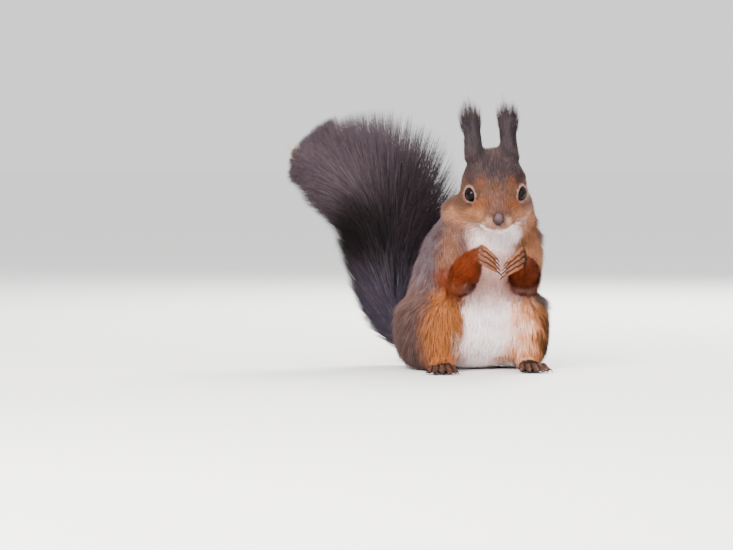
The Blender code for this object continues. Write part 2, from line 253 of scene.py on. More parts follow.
# the point at a height along the ear's middle line, which leans from its root
def earPoint(sign, height):
    lean = np.array(ear["lean"]) * (sign, 1, 1) + (ear["swing"], 0, 0)
    return np.array(ear["root"]) * (sign, 1, 1) + (ear["shift"], 0, 0) + unit(lean) * height


# name: frame, start, end, radius of the form, coat depth, hair length, how far the solids
# grow before they merge, piece of the coat. Hair lies from start to end.
bones = {
    "muzzle": (fromHead, (0, -21, -4), (0, -9, -4), 10, 0.8, 2.0, 0.2, "coat_face"),
    "skull": (fromHead, (0, -4, -2), (0, 22, 0), 18, 2.0, 4.6, 0.2, "coat_crown"),
    "throat": (fromBody, (7, -24, 100), (5, -20, 82), 18, 3.6, 8.5, 1.6, "coat_throat"),
    "nape": (fromBody, (8, -8, 114), (5, 4, 86), 20, 4.6, 9.5, 2.0, "coat_nape"),
    "back": (fromBody, (4, 6, 82), (0, 20, 14), 24, 5.5, 11.5, 3.0, "coat_back"),
    "belly": (fromBody, (3, -12, 78), (0, -12, 10), 22, 4.6, 9.0, 3.0, "coat_belly"),
}
for side, sign in sides.items():
    thigh, arm = f"coat_thigh_{side}", f"coat_arm_{side}"
    handMiddle = toBody(boxMiddle(f"hand_{side}"))
    instep = np.array((sign * 26, -38, 3))
    bones |= {
        f"brow_{side}": (fromHead, (sign * 7, -8, 3), (sign * 12, 10, 9), 9, 1.2, 3.2, 0.2,
                         "coat_face"),
        f"cheek_{side}": (fromHead, (sign * 7, -10, -9), (sign * 17, 9, -13), 9, 2.4, 7.0, 0.4,
                          "coat_face"),
        f"ear_{side}": (fromHead, earPoint(sign, 2), earPoint(sign, 23), 6.5, 0.9, 5.4, 0.2,
                        "coat_ears"),
        f"upperArm_{side}": (fromBody, shoulders[side], elbows[side], 11, 3.2, 8.0, 2.0, arm),
        f"forearm_{side}": (fromBody, elbows[side], wrists[side], 8, 2.8, 7.4, 0.8, arm),
        f"thighFront_{side}": (fromBody, (sign * 27, -22, 40), (sign * 31, -24, 6), 13, 3.8,
                               8.6, 3.0, thigh),
        f"thighMiddle_{side}": (fromBody, (sign * 27, 0, 46), (sign * 33, 6, 4), 18, 4.4, 10,
                                3.0, thigh),
        f"thighBack_{side}": (fromBody, (sign * 24, 22, 40), (sign * 29, 31, 6), 14, 4.6, 10.5,
                              3.0, thigh),
        f"foot_{side}": (fromBody, (sign * 26, -20, 5), instep, 5, 0.5, 2.0, 0.2, "coat_paws"),
        f"hand_{side}": (fromBody, wrists[side], handMiddle, 4, 0.35, 1.5, 0.15, "coat_paws"),
    }
    for (part, k), line in digits[side].items():
        radius = digitRadius[part][1]
        for step, (start, end) in enumerate(zip(line, line[1:])):
            bones[f"{part}Digit_{side}_{k}_{step}"] = (np.asarray, start, end, radius, 0.14,
                                                       0.75, 0.05, "coat_paws")
headBones = ("muzzle", "skull", "brow", "cheek")
digitBones = ("handDigit", "footDigit")
boneNames = list(bones)
boneStart = np.array([b[0](b[1]) for b in bones.values()])
boneEnd = np.array([b[0](b[2]) for b in bones.values()])
boneRadius, boneDepth, boneLength, boneGrowth = (
    np.array([b[k] for b in bones.values()]) * mm for k in (3, 4, 5, 6))
bonePiece = [b[7] for b in bones.values()]
boneWay = unit(boneEnd - boneStart)
boneSoft = 2.2 * mm  # how gradually one bone's rule gives way to the next


# each bone's weight at each point: falls off with the distance to the bone's rounded form
def boneWeights(points):
    along = boneEnd - boneStart
    t = np.einsum("pbk,bk->pb", points[:, None] - boneStart, along) / (along ** 2).sum(1)
    nearest = boneStart + np.clip(t, 0, 1)[..., None] * along
    gap = np.linalg.norm(points[:, None] - nearest, axis=2) - boneRadius
    weight = np.exp(-(gap - gap.min(1, keepdims=True)) / boneSoft)
    return weight / weight.sum(1, keepdims=True)


# the summed weight of the bones whose names start with any of these
def weightOf(weights, *starts):
    return sum(weights[:, k] for k, name in enumerate(boneNames) if name.startswith(starts))


lids = {
    "wide": 50,  # degrees from the eye's axis to the opening's corners, and to its middle edges
    "tall": 41,
    "pointed": 0.10,  # how far the corners are drawn out
    "corner": (0, -1, -0.35),  # the way to the inner corner
    "thick": 0.75,
    "edge": (-0.2, 0.5),  # where the lid rises to its thickness
    "under": 0.8,  # how deep the skin passes under the eyeball
    "fade": (5.5, 0.6),  # gaps at which the lids are lost in the face, and whole
    "reach": 7,
    "rim": 0.24,  # radius of the bare edge, its share wider, and how far it stands off
    "rimWide": 1.25,
    "rimOff": 0.22,
    "colour": (0.006, 0.004, 0.0035),
}


# eye's centre, axis, and the two ways across it: towards the inner corner and upward
def eyeFrame(sign):
    centre = np.array(pose["eyeAt"]) * (sign, 1, 1)
    axis = unit(np.array(pose["eyeAxis"]) * (sign, 1, 1))
    corner = np.array(lids["corner"], float)
    corner = unit(corner - axis * (corner @ axis))
    return centre, axis, corner, np.cross(axis, corner)


# the opening's angle from the eye's axis: an ellipse, a little pointed at its two corners
def lidAngle(turn):
    wide, tall = math.radians(lids["wide"]), math.radians(lids["tall"])
    oval = wide * tall / np.sqrt((tall * np.cos(turn)) ** 2 + (wide * np.sin(turn)) ** 2)
    return oval * (1 + lids["pointed"] * np.abs(np.cos(turn)) ** 8)


# how far a point of the head lies from the eye's centre, and outside the opening's edge
def lidGap(head, sign):
    centre, axis, corner, upward = eyeFrame(sign)
    away = head - centre
    reach = np.maximum(np.linalg.norm(away, axis=1), 1e-6)
    angle = np.arccos(np.clip(away @ axis / reach, -1, 1))
    return reach, (angle - lidAngle(np.arctan2(away @ upward, away @ corner))) * pose["eyeRadius"]


nose = {
    "at": (0, -22.3, -0.9),
    "size": (3.7, 3.2, 4.4),
    "narrow": (0.6, 0.12),  # how much narrower it is below and above
    "nostril": (2.35, 0.45),  # beside the middle and up, and the dent's depth
    "deep": 1.2,
    "groove": 0.55,
    "wing": 0.22,
    "brow": 0.45,  # how far the top leans back
    "colour": (0.024, 0.0100, 0.0115),
    # pale: a painted highlight on the pad's top
    "pale": (0.066, 0.031, 0.035),
    # dark: painted shade in the nostrils' dents, the groove and round the sides
    "dark": (0.008, 0.004, 0.004),
}

coatColours = {  # linear red, green, blue
    "crown": (0.027, 0.0175, 0.0185),
    "crownPale": (0.090, 0.060, 0.062),
    "face": (0.078, 0.036, 0.021),
    "underEye": (0.150, 0.048, 0.0178),
    "bridge": (0.098, 0.044, 0.034),
    "cheek": (0.30, 0.122, 0.058),
    "collar": (0.16, 0.070, 0.042),
    "cream": (0.37, 0.195, 0.165),
    "lipFur": (0.34, 0.175, 0.115),
    "white": (0.97, 0.77, 0.765),
    "bib": (0.42, 0.215, 0.175),
    "orange": (0.275, 0.088, 0.024),
    "buff": (0.64, 0.275, 0.14),
    # side: orange-brown darkened by painted shade, for the animal's left side, which faces away
    # from the key lamp
    "side": (0.029, 0.0117, 0.0052),
    "flank": (0.095, 0.052, 0.045),
    "haunch": (0.060, 0.034, 0.031),
    "shoulder": (0.095, 0.066, 0.074),
    "back": (0.050, 0.031, 0.029),
    "rust": (0.132, 0.021, 0.004),
    "elbow": (0.026, 0.016, 0.011),
    "ear": (0.029, 0.021, 0.024),
    "paw": (0.20, 0.066, 0.026),
    "foot": (0.050, 0.018, 0.010),
    # the colour of the painted shade in the gaps between fingers and between toes
    "digitGapShade": (0.030, 0.014, 0.011),
    # knuckle: the colour of the pale painted highlights on fingers and toes
    "knuckle": (0.30, 0.15, 0.10),
    "spot": (0.026, 0.014, 0.013),
    "rustSpot": (0.13, 0.034, 0.012),
    "pink": (0.75, 0.34, 0.32),
}


# height of the mouth line below the eyes at a place beside the middle: down, then up and back
def mouthLine(x):
    return -7.6 - 0.8 * np.cos(np.clip(x / 3.2, -math.pi, math.pi))


# The colour of coat and skin at each point. Each zone is a smooth mask in the head's or the
# body's frame, and one is laid over the last.
def markings(points, weights):
    head, body = toHead(points), toBody(points)
    up = (points[:, 2] - eyeMiddle[2]) / mm
    wander, fine, speck = (ripple(points, size * mm, seed)
                           for size, seed in ((9, 11), (2.6, 12), (1.1, 13)))

    # a base colour and the zones laid over it in turn, each a colour's name or rows and a mask
    def layered(base, *zones):
        colour = np.tile(coatColours[base], (len(points), 1)) if isinstance(base, str) else base
        for zone, mask in zones:
            colour = blend(colour, coatColours[zone] if isinstance(zone, str) else zone, mask)
        return colour

    # round the body: 0 at the middle of the belly, 180 at the spine
    x = body[:, 0] - 0.055 * body[:, 2]
    z = body[:, 2]
    ahead = 4 - body[:, 1]
    ahead = np.where(ahead > 0, np.maximum(ahead, 20 * ramp(z, 16, 8)), ahead)
    around = np.degrees(np.arctan2(np.abs(x), ahead)) + 4 * wander + 3 * fine
    left = ramp(x, -4, 8)
    # the front of the left side, in painted shade: the dark orange-brown side colour instead of
    # grey
    shadedLeft = left * ramp(around, 78, 54)
    stripe = layered("orange", ("buff", left * (0.15 + 0.85 * ramp(around, 42, 32))))
    belly = layered("white", ("bib", ramp(z + 4 * fine, 38, 58) * 0.9))
    under = ramp(np.abs(x - 2), 21, 15) * ramp(z + fine, 14, 7) * ramp(body[:, 1], 10, 0)
    colour = layered(
        "flank",
        ("haunch", ramp(z + 4 * wander, 50, 32)),
        ("shoulder", ramp(z + 5 * wander, 46, 70) * (1 - shadedLeft)),
        ("side", shadedLeft),
        ("back", ramp(around, 95, 130)),
        (stripe, ramp(around, 64 - 15 * left, 44 - 8 * left) * ramp(z + 3 * wander, 70, 50)),
        (belly, ramp(around, 35 + left, 27 - 8 * left)),
        (belly, under))

    # throat: white in the middle, orange-buff to each side of it, grey or brown behind; on it and
    # on the arms, part of the left side in painted shade
    behind = body[:, 1] + 0.5 * (z - 90) + wander
    throat = layered(
        "collar",
        ("cheek", left),
        ("side", left * ramp(around, 46, 62) * 0.5),
        ("shoulder", ramp(around, 46, 64) * (1 - shadedLeft)),
        ("white", ramp(around, 34, 22) * ramp(behind, -8, -16)),
        ("back", ramp(behind, -6, 4)))
    arm = layered(
        "collar",
        ("cheek", left),
        ("side", left * ramp(around, 46, 60) * 0.6),
        ("shoulder", ramp(around, 48, 66) * (1 - shadedLeft)),
        ("rust", ramp(z + 2 * wander, 70, 60) * ramp(around, 72, 56)))
    lower = ramp(z + 3 * wander + 2 * fine, 56, 47)
    forearm = layered("rust", ("elbow", lower * (0.35 + 0.65 * ramp(np.abs(x), 17, 25))))
    # the left forearm a fifth darker: painted shade
    forearm *= 1 - 0.2 * left[:, None]

    # head: mauve and orange mixed down the bridge, red-orange under the eyes, grey above
    beside = np.abs(head[:, 0])
    front = ramp(head[:, 1], -4, -9)
    underEye = np.exp(-((beside - 10) / 5) ** 2 - ((up + 8) / 4) ** 2)
    dip = 3 * ramp(beside, 8, 3)
    crown = ramp(up + dip + 2 * wander + 2.6 * fine + 2.2 * speck, 2, 13)
    noseGap = np.linalg.norm(head - (0, -22.5, -4.5), axis=1)
    pad = ramp(head[:, 2] + fine, -2.5, -6) * ramp(beside + fine, 8.5, 4.5) * front
    overMouth = head[:, 2] - mouthLine(head[:, 0])
    lip = np.exp(-((overMouth - 1.3) / 0.9) ** 2) * front * ramp(beside, 6.5, 4)
    jaw = ramp(up + 1.5 * wander + 1.5 * fine + left, -17.5, -21) \
        * (1 - front * ramp(overMouth, -0.6, 0.3) * ramp(beside, 9, 6))
    chin = ramp(overMouth, -0.3, -1.2) * ramp(beside, 6, 4)
    face = layered(
        "face",
        ("bridge", ramp(beside + 1.2 * fine, 7.5, 2.5) * front * (0.75 + 0.25 * speck)),
        ("underEye", np.clip(underEye * (0.9 + 0.3 * fine), 0, 1)),
        ("cheek", ramp(up + 1.5 * wander, -8, -13) * ramp(beside, 6, 10)),
        ("crown", crown),
        ("crownPale", crown * ramp(speck + 0.5 * fine, 0.35, 1.0) * 0.45),
        ("back", ramp(head[:, 1] + wander, 11, 20) * ramp(up, -20, -11)),
        ("lipFur", ramp(noseGap, 8.5, 6) * ramp(head[:, 2], 0.5, -2.5)),
        ("lipFur", pad * 0.9),
        ("cream", lip * 0.8),
        ("white", np.maximum(jaw * ramp(beside, 19, 14), front * chin)))
    for sign in sides.values():  # a dark spot over each eye, rust inside it, a pale ring round it
        reach, gap = lidGap(head, sign)
        spread = gap + 1.5 * np.maximum(reach - pose["eyeRadius"] - 1.8, 0) + 0.4 * fine
        over = np.hypot(head[:, 0] - sign * (pose["eyeAt"][0] + 0.6), (up - 8.6) * 0.9)
        inner = np.hypot(head[:, 0] - sign * 9.0, up - 5.6)
        face = layered(
            face,
            ("spot", ramp(over + 0.8 * fine, 4.2, 1.2) * 0.7),
            ("rustSpot", ramp(inner + 0.8 * fine, 4.8, 0.8) * 0.4),
            ("cream", ramp(spread, 1.3, 0.4) * 0.62))

    colour = layered(
        colour,
        (throat, weightOf(weights, "throat", "nape") * ramp(z, 72, 82)),
        (arm, weightOf(weights, "upperArm")),
        (forearm, ramp(weightOf(weights, "forearm"), 0.15, 0.5)),
        (face, weightOf(weights, *headBones, "ear")),
        ("ear", weightOf(weights, "ear") * ramp(head[:, 2], 14, 19)),
        ("paw", weightOf(weights, "hand")),
        ("foot", weightOf(weights, "foot")))
    near = np.flatnonzero(weightOf(weights, *digitBones) > 0.3)
    first, second = digitGaps(points[near])
    # painted shade in the gaps between fingers and between toes
    digitGapShade = ramp(second - first, 1.5, 0.4)
    # pale painted highlights on the digits, off the gaps, laid by a fine noise
    knuckle = (1 - digitGapShade) * ramp(speck[near], -0.2, 0.9)
    colour[near] = layered(colour[near], ("knuckle", knuckle * 0.7), ("digitGapShade", digitGapShade * 0.85))
    for teat in ((9, 12), (8.5, 31)):  # beside the middle line and up
        gap = np.hypot(np.abs(x) - teat[0], z - teat[1]) + 40 * (body[:, 1] > -8)
        colour = layered(colour, ("pink", ramp(gap, 3.2, 0.8) * 0.6))
    return colour * (1 + 0.10 * wander + 0.06 * fine)[:, None]


# a node of a material's or the world's tree, with the named sockets set
def addNode(tree, kind, sockets=()):
    node = tree.nodes.new("ShaderNode" + kind)
    for socket, value in dict(sockets).items():
        node.inputs[socket].default_value = value
    return node


# noise on Object coordinates, its middle part spread over a range
def addNoise(tree, scale, low, high, detail=3.0):
    place = addNode(tree, "TexCoord")
    noise = addNode(tree, "TexNoise", {"Scale": scale, "Detail": detail})
    spread = addNode(tree, "MapRange", {"From Min": 0.3, "From Max": 0.7,
                                        "To Min": low, "To Max": high})
    tree.links.new(place.outputs["Object"], noise.inputs["Vector"])
    tree.links.new(noise.outputs["Fac"], spread.inputs["Value"])
    return spread.outputs["Result"]


# a value from 0 to 1 as a colour from low to high
def addTones(tree, value, low, high):
    tones = addNode(tree, "ValToRGB")
    tones.color_ramp.elements[0].color = (*low, 1)
    tones.color_ramp.elements[1].color = (*high, 1)
    tree.links.new(value, tones.inputs["Fac"])
    return tones.outputs["Color"]


# the colour that setColours gave to each point
def addMarks(tree):
    marks = addNode(tree, "Attribute")
    marks.attribute_name = "markings"
    return marks.outputs["Color"]


# a fine relief: noise as height over the surface
def addBump(tree, scale, detail, strength, height):
    relief = addNode(tree, "Bump", {"Strength": strength, "Distance": height})
    tree.links.new(addNoise(tree, scale, 0, 1, detail), relief.inputs["Height"])
    tree.links.new(relief.outputs["Normal"], tree.nodes["Principled BSDF"].inputs["Normal"])


# a Principled shader; values that are the same all over are set on its own sockets
def makeMaterial(name, roughness, specular):
    material = bpy.data.materials.new(name)
    material.use_nodes = True
    shader = material.node_tree.nodes["Principled BSDF"]
    shader.inputs["Roughness"].default_value = roughness
    shader.inputs["Specular IOR Level"].default_value = specular
    return material, material.node_tree, shader


# the marked colour times a fine noise, for coat and skin alike
def markedMaterial(name, roughness, specular, scale, low, high):
    material, tree, shader = makeMaterial(name, roughness, specular)
    product = addNode(tree, "VectorMath")
    product.operation = "SCALE"
    tree.links.new(addMarks(tree), product.inputs[0])
    tree.links.new(addNoise(tree, scale, low, high), product.inputs["Scale"])
    tree.links.new(product.outputs["Vector"], shader.inputs["Base Color"])
    return material


# a colour that wanders from low to high by a fine noise
def tonedMaterial(name, roughness, specular, scale, low, high):
    material, tree, shader = makeMaterial(name, roughness, specular)
    tone = addNoise(tree, scale, 0, 1)
    tree.links.new(addTones(tree, tone, low, high), shader.inputs["Base Color"])
    return material


# name, roughness, specular level, noise scale, darkest and palest tone
coatMaterial = markedMaterial("coatHair", 0.6, 0.08, 900, 0.84, 1.14)
tailMaterial = markedMaterial("tailHair", 0.6, 0.06, 500, 0.80, 1.2)
skinMaterial = markedMaterial("furredSkin", 0.7, 0.1, 1400, 0.72, 1.15)
addBump(skinMaterial.node_tree, 2240, 4.0, 0.6, 0.4 * mm)
print("frame and markings ready")

tail = {
    # middle of the tail, half thickness, reach inside and outside the curve
    "rows": [
        (-24, 35, 11, 11, 12, 12),
        (-40, 42, 19, 14.5, 15, 16),
        (-48, 44, 36, 16, 19.5, 19),
        (-50, 44, 57, 17, 23, 24),
        (-53, 45, 78, 18, 25, 38),
        (-60, 47, 96, 19, 25, 51),
        (-73, 50, 111, 20, 25, 48),
        (-87, 54, 122, 18, 21, 39),
        (-100, 58, 131, 13, 15, 27),
    ],
    "thickWay": (0.25, 1, 0),  # the way across which the half thickness lies
    "beyondTip": 14,
    "capShare": 0.2,  # places past 1 that make up the rounded tip, and its angle
    "capAngle": 1.4,
    "core": 4.2,  # radius of the fleshy tail, and its share at the root and the tip
    "coreTaper": (1.5, 0.6),
    "clearance": (9, 6),  # where the body's coat gives way to the tail's
    "count": 62000,
    "width": 0.27,
    "along": (1.15, 0.95),  # beta distribution of the roots along the tail
    "advance": (0.13, 0.22),  # how far on along the tail a hair ends, near the root and later
    "lengths": (0.6, 1.25),
    "widths": (0.7, 1.3),
    "stray": 0.14,
    "fill": (1.12, 0.64, 2.2),  # longest hairs' share of the outline, what others lack, power
    "proud": (0.1, 0.08),  # how much further a few hairs reach, and how many do
    "fuller": {"outside": 0.17, "inside": 0.16, "tip": 0.34},  # added to that share
    "rootFill": 0.66,  # what is left of it at the root
    "flatten": 0.96,  # the tail's thickness, as a share of the rows'
    # the near-black band in the tail's inner bend is painted shade
    "bendShadeAt": 0.43,  # the dark band's place, and where it ends and is full on each side of it
    "bendShadeSpread": (0.22, 0.05),
    "paleShare": 0.10,
    "blondShare": 0.03,  # long fair hairs at the tip, and how far on they reach
    "blondLength": (3.5, 9.5),
    "clump": 4.5,
    "pull": 0.55,
    "cuts": (0, 0.34, 0.6, 0.8, 1.01),  # places where one piece ends and the next begins
    # near-black painted shade, in the inner bend and on the skin under the tail's hair
    "dark": (0.0015, 0.0008, 0.0009),
    "brown": (0.042, 0.030, 0.037),
    "grey": (0.0235, 0.019, 0.029),
    "pale": (0.085, 0.062, 0.056),
    "blond": (0.45, 0.32, 0.21),
}
tailRows = np.array(tail["rows"], float)


# The tail at places 0 to 1 along it: middle, tangent, thickness way, outward way and reaches.
# Past 1 the places go round the tip, where the reach shrinks by the cosine.
def tailAt(t):
    last = len(tailRows) - 1
    place = np.clip(t, 0, 1) * last
    rows = curveThrough(tailRows, place)
    step = 0.02
    ahead = curveThrough(tailRows[:, :3], np.clip(place + step, 0, last))
    behind = curveThrough(tailRows[:, :3], np.clip(place - step, 0, last))
    tangent = unit(ahead - behind)
    side = np.array(tail["thickWay"])
    across = unit(side - tangent * (tangent @ side)[:, None])
    upward = np.cross(tangent, across)
    cap = np.clip((t - 1) / tail["capShare"], 0, 1) * tail["capAngle"]
    middle = rows[:, :3] + tangent * (tail["beyondTip"] * np.sin(cap))[:, None]
    return middle, tangent, across, upward, rows[:, 3:] * np.cos(cap)[:, None]


corePath = tailAt(np.linspace(0, 1, 40))[0] * mm + home


# distance to the tail's middle line, past its root in the body, in millimetres
def tailGap(points):
    return np.linalg.norm(points[:, None] - corePath[6::2], axis=2).min(1) / mm


skinSpec = {
    "voxel": 0.86,
    "flesh": ["head", "neck", "trunk"] + [
        f"{part}_{side}" for side in sides
        for part in ("ear", "upper_arm", "forearm", "hand", "thigh", "foot")],
    "alsoReplaces": ["ear_tuft_left", "ear_tuft_right", "tail_root", "tail_lower",
                     "tail_upper", "tail_tip"],
    "lidBall": 6.9,
    "digit": 1.45,
    "smooth": 0.6,  # how much the merged form is smoothed, how much less on the face, and times
    "smoothFace": 0.42,
    "smoothTimes": 60,
    "leastHeight": 0.25,  # off the floor
    "fineMuzzle": -14,  # from here forward the muzzle's faces are cut in four
    "fineLids": (2.5, 2.2),  # and beside the eyeball and the opening's edge
    # painted shade under the coat
    "shade": 0.8,  # the skin under the hair is a little darker
}


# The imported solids' triangles, merged and grown, with the tail's core, the fingers and toes and
# a ball for each eye's lids, as one mesh. Each point grows by its bones' amounts, so that the
# gaps close.
def fleshMesh():
    soup = bmesh.new()
    for name in skinSpec["flesh"]:
        solid = bmesh.new()
        solid.from_mesh(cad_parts[name].data)
        bmesh.ops.remove_doubles(solid, verts=solid.verts, dist=0.002 * mm)
        copy = bpy.data.meshes.new("solid")
        solid.to_mesh(copy)
        solid.free()
        points, normals = meshArrays(copy)
        grow = boneWeights(points) @ boneGrowth
        setPoints(copy, points + normals * grow[:, None])
        soup.from_mesh(copy)
    tubes = [(corePath, tail["core"] * mm * np.linspace(*tail["coreTaper"], len(corePath)), 12)]
    for line in [line for lines in digits.values() for line in lines.values()]:
        claw = line[2] + unit(line[3] - line[2]) * 2.0 * mm
        path = curveThrough([*line[:3], claw], np.linspace(0, 3, 13))
        tubes.append((path, skinSpec["digit"] * mm, 8))
    for path, radii, count in tubes:
        points, faces = tube(path, radii, count)
        limb = makePiece("limb", points, faces, skinMaterial)
        soup.from_mesh(limb.data)
        bpy.data.objects.remove(limb)
    for sign in sides.values():
        ball = bmesh.ops.create_icosphere(soup, subdivisions=4, radius=skinSpec["lidBall"] * mm)
        at = Vector(fromHead(eyeFrame(sign)[0]))
        bmesh.ops.translate(soup, verts=ball["verts"], vec=at)
    mesh = bpy.data.meshes.new("flesh")
    soup.to_mesh(mesh)
    soup.free()
    return mesh


# one closed surface of even quads round everything in the mesh
def remeshed(mesh, voxel):
    holder = bpy.data.objects.new("holder", mesh)
    scene.collection.objects.link(holder)
    step = holder.modifiers.new("even", "REMESH")
    step.mode = "VOXEL"
    step.voxel_size = voxel * mm
    bpy.context.view_layer.update()
    shape = holder.evaluated_get(bpy.context.evaluated_depsgraph_get())
    made = bpy.data.meshes.new_from_object(shape)
    bpy.data.objects.remove(holder)
    return made


# each point moves by its own share towards the mean of its neighbours, several times over
def relax(points, edges, amount, times):
    both = np.vstack([edges, edges[:, ::-1]])
    count = np.bincount(both[:, 0], minlength=len(points))
    for _ in range(times):
        mean = np.stack([np.bincount(both[:, 0], column[both[:, 1]], len(points))
                         for column in points.T], 1) / count[:, None]
        points = points + (mean - points) * amount[:, None]
    return points


# the two ends of each of a mesh's edges
def edgesOf(mesh):
    edges = np.empty(len(mesh.edges) * 2, np.int32)
    mesh.edges.foreach_get("vertices", edges)
    return edges.reshape(-1, 2)


# The skin is drawn onto the eyeball: under it inside the opening, and a lid's thickness over
# it outside, which fades into the face.
def sculptEyes(head):
    radius = pose["eyeRadius"]
    for sign in sides.values():
        reach, gap = lidGap(head, sign)
        goal = np.where(gap < 0, radius - lids["under"],
                        radius + lids["thick"] * ramp(gap, *lids["edge"]))
        hold = ramp(gap, *lids["fade"]) * (reach < radius + lids["reach"])
        centre = eyeFrame(sign)[0]
        head = centre + (head - centre) * (1 + (goal / reach - 1) * hold)[:, None]
    return head


knuckles = ((1, 0.22, 0.22), (1.7, 0.12, 0.15))  # place on the line, swell, half length


# distance to a line of points less its radius, which tapers to the tip and swells at joints
def lineGap(points, line, radii):
    best = np.full(len(points), 1.0)
    steps = len(line) - 1
    for k in range(steps):
        along = line[k + 1] - line[k]
        t = np.clip((points - line[k]) @ along / (along @ along), 0, 1)
        swelling = sum(swell * np.exp(-((k + t - at) / half) ** 2) for at, swell, half in knuckles)
        radius = (np.interp((k + t) / steps, (0, 1), radii) + swelling) * mm
        best = np.minimum(best, np.linalg.norm(points - line[k] - t[:, None] * along, axis=1)
                          - radius)
    return best


# each point's gaps to its nearest and second nearest digit, in millimetres
def digitGaps(points):
    gaps = np.sort(np.stack([lineGap(points, line, digitRadius[key[0]])
                             for lines in digits.values() for key, line in lines.items()]), axis=0)
    return gaps[0] / mm, gaps[1] / mm


# Fingers and toes part: a point that stands off its digit's round form is drawn in towards it.
def sculptDigits(points, normals, weights):
    near = np.flatnonzero(weightOf(weights, *digitBones) > 0.5)
    gap = digitGaps(points[near])[0]
    points[near] -= normals[near] * (np.clip(gap + 0.15, -0.5, 1.3) * mm)[:, None]
    return points


# pads and chin: place beside the middle, forward and up, half sizes, and how far they swell
muzzle = {"pads": ((4.6, -17.5, -6.0), (3.2, 3.6, 3.0), 0.9),
          "chin": ((0, -16, -14), (4.5, 4, 2.5), 0.8), "mouthDepth": 0.9, "mouthHalf": 0.75,
          "grooveHalf": 0.6}


# The muzzle: bell-shaped mounds swell its whisker pads and chin, the mouth line and the groove
# under the nose sink in.
def sculptMuzzle(head, normals):
    folded = np.abs(head) * (1, 0, 0) + head * (0, 1, 1)
    pads, chin = (swell * np.exp(-(((folded - at) / size) ** 2).sum(1))
                  for at, size, swell in (muzzle["pads"], muzzle["chin"]))
    front = ramp(head[:, 1], -11, -14)
    mouth = np.exp(-((head[:, 2] - mouthLine(head[:, 0])) / muzzle["mouthHalf"]) ** 2) * front
    groove = np.exp(-(head[:, 0] / muzzle["grooveHalf"]) ** 2) * ramp(head[:, 2], -2.5, -4) \
        * ramp(head[:, 2], -7.9, -7.0) * front
    push = pads - muzzle["mouthDepth"] * np.maximum(mouth, 0.7 * groove) + chin
    return head + normals * push[:, None]


# Ears thin towards the top: a point's offset from the ear's axis shrinks across the ear.
def sculptEars(head, weights):
    for side, sign in sides.items():
        base = earPoint(sign, 0)
        lean = unit(earPoint(sign, 1) - base)
        across = unit(np.cross(lean, (0.2 * sign, -1, 0)))
        away = head - base
        slim = ear["slim"] * ramp(away @ lean, 2, 14) * weightOf(weights, "ear_" + side)
        head = head - across * ((away @ across) * slim)[:, None]
    return head


# the faces of fingers, toes, lids and muzzle are cut in four
def refine(mesh, points, weights):
    head = toHead(points)
    fine = weightOf(weights, *digitBones) > 0.6
    fine |= (head[:, 1] < skinSpec["fineMuzzle"]) & (weightOf(weights, "muzzle") > 0.5)
    offBall, offEdge = skinSpec["fineLids"]
    for sign in sides.values():
        reach, gap = lidGap(head, sign)
        fine |= (reach < pose["eyeRadius"] + offBall) & (np.abs(gap) < offEdge)
    work = bmesh.new()
    work.from_mesh(mesh)
    work.verts.ensure_lookup_table()
    edges = {edge for k in np.flatnonzero(fine) for edge in work.verts[k].link_edges}
    bmesh.ops.subdivide_edges(work, edges=list(edges), cuts=1, use_grid_fill=True)
    work.to_mesh(mesh)
    work.free()


# The skin: the grown solids merged and smoothed, drawn in by the coat's depth and merged again,
# then cut finer and sculpted at the digits, eyes, muzzle and ears.
def makeSkin():
    mesh = remeshed(fleshMesh(), skinSpec["voxel"])
    edges = edgesOf(mesh)
    points, _ = meshArrays(mesh)
    weights = boneWeights(points)
    small = weightOf(weights, "hand", "foot", "ear")
    face = weightOf(weights, *headBones)
    smooth = skinSpec["smooth"]
    amount = np.clip(smooth - smooth * small - skinSpec["smoothFace"] * face, 0, smooth)
    points = relax(points, edges, amount, skinSpec["smoothTimes"])
    points = relax(points, edges, 0.3 * np.clip(small, 0, 1), 3)
    setPoints(mesh, points)
    mesh.update()
    points, normals = meshArrays(mesh)
    onTail = ramp(tailGap(points), *tail["clearance"])
    depth = boneWeights(points) @ (boneDepth + boneGrowth) * (1 - onTail)
    depth = relax(depth[:, None], edges, np.full(len(points), 0.5), 12)
    points = points - normals * depth
    points[:, 2] = np.maximum(points[:, 2], skinSpec["leastHeight"] * mm)
    setPoints(mesh, points)
    mesh = remeshed(mesh, skinSpec["voxel"])
    points, normals = meshArrays(mesh)
    weights = boneWeights(points)
    small = weightOf(weights, "hand", "foot", "ear")
    points = relax(points, edgesOf(mesh), 0.5 - 0.4 * small, 6)
    setPoints(mesh, points)
    refine(mesh, points, weights)
    points, normals = meshArrays(mesh)
    weights = boneWeights(points)
    points = sculptDigits(points, normals, weights)
    points = relax(points, edgesOf(mesh), 0.35 * weightOf(weights, *digitBones), 3)
    onHead = weightOf(weights, *headBones) > 0.5
    head = toHead(points)
    shaped = sculptEyes(sculptMuzzle(head, normals @ headTurn))
    shaped = sculptEars(np.where(onHead[:, None], shaped, head), weights)
    setPoints(mesh, fromHead(shaped))
    mesh.update()
    mesh.shade_smooth()
    mesh.materials.clear()
    mesh.materials.append(skinMaterial)
    skin = bpy.data.objects.new("skin", mesh)
    scene.collection.objects.link(skin)
    return skin


skin = makeSkin()
skinPoints, skinNormals = meshArrays(skin.data)
skinWeights = boneWeights(skinPoints)
# the skin's colour: the markings darkened as painted shade under the coat, and near-black painted
# shade under the tail's hair
skinColours = blend(markings(skinPoints, skinWeights) * skinSpec["shade"], tail["dark"],
                    ramp(tailGap(skinPoints), *tail["clearance"]))
setColours(skin.data, skinColours)
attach(skin, "root")
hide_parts(*skinSpec["flesh"], *skinSpec["alsoReplaces"])
print("skin", len(skin.data.polygons), "faces")

tuft = {"wide": 1.15, "thin": 0.6, "soft": 0.55}  # soft: how far normals lean to the form's


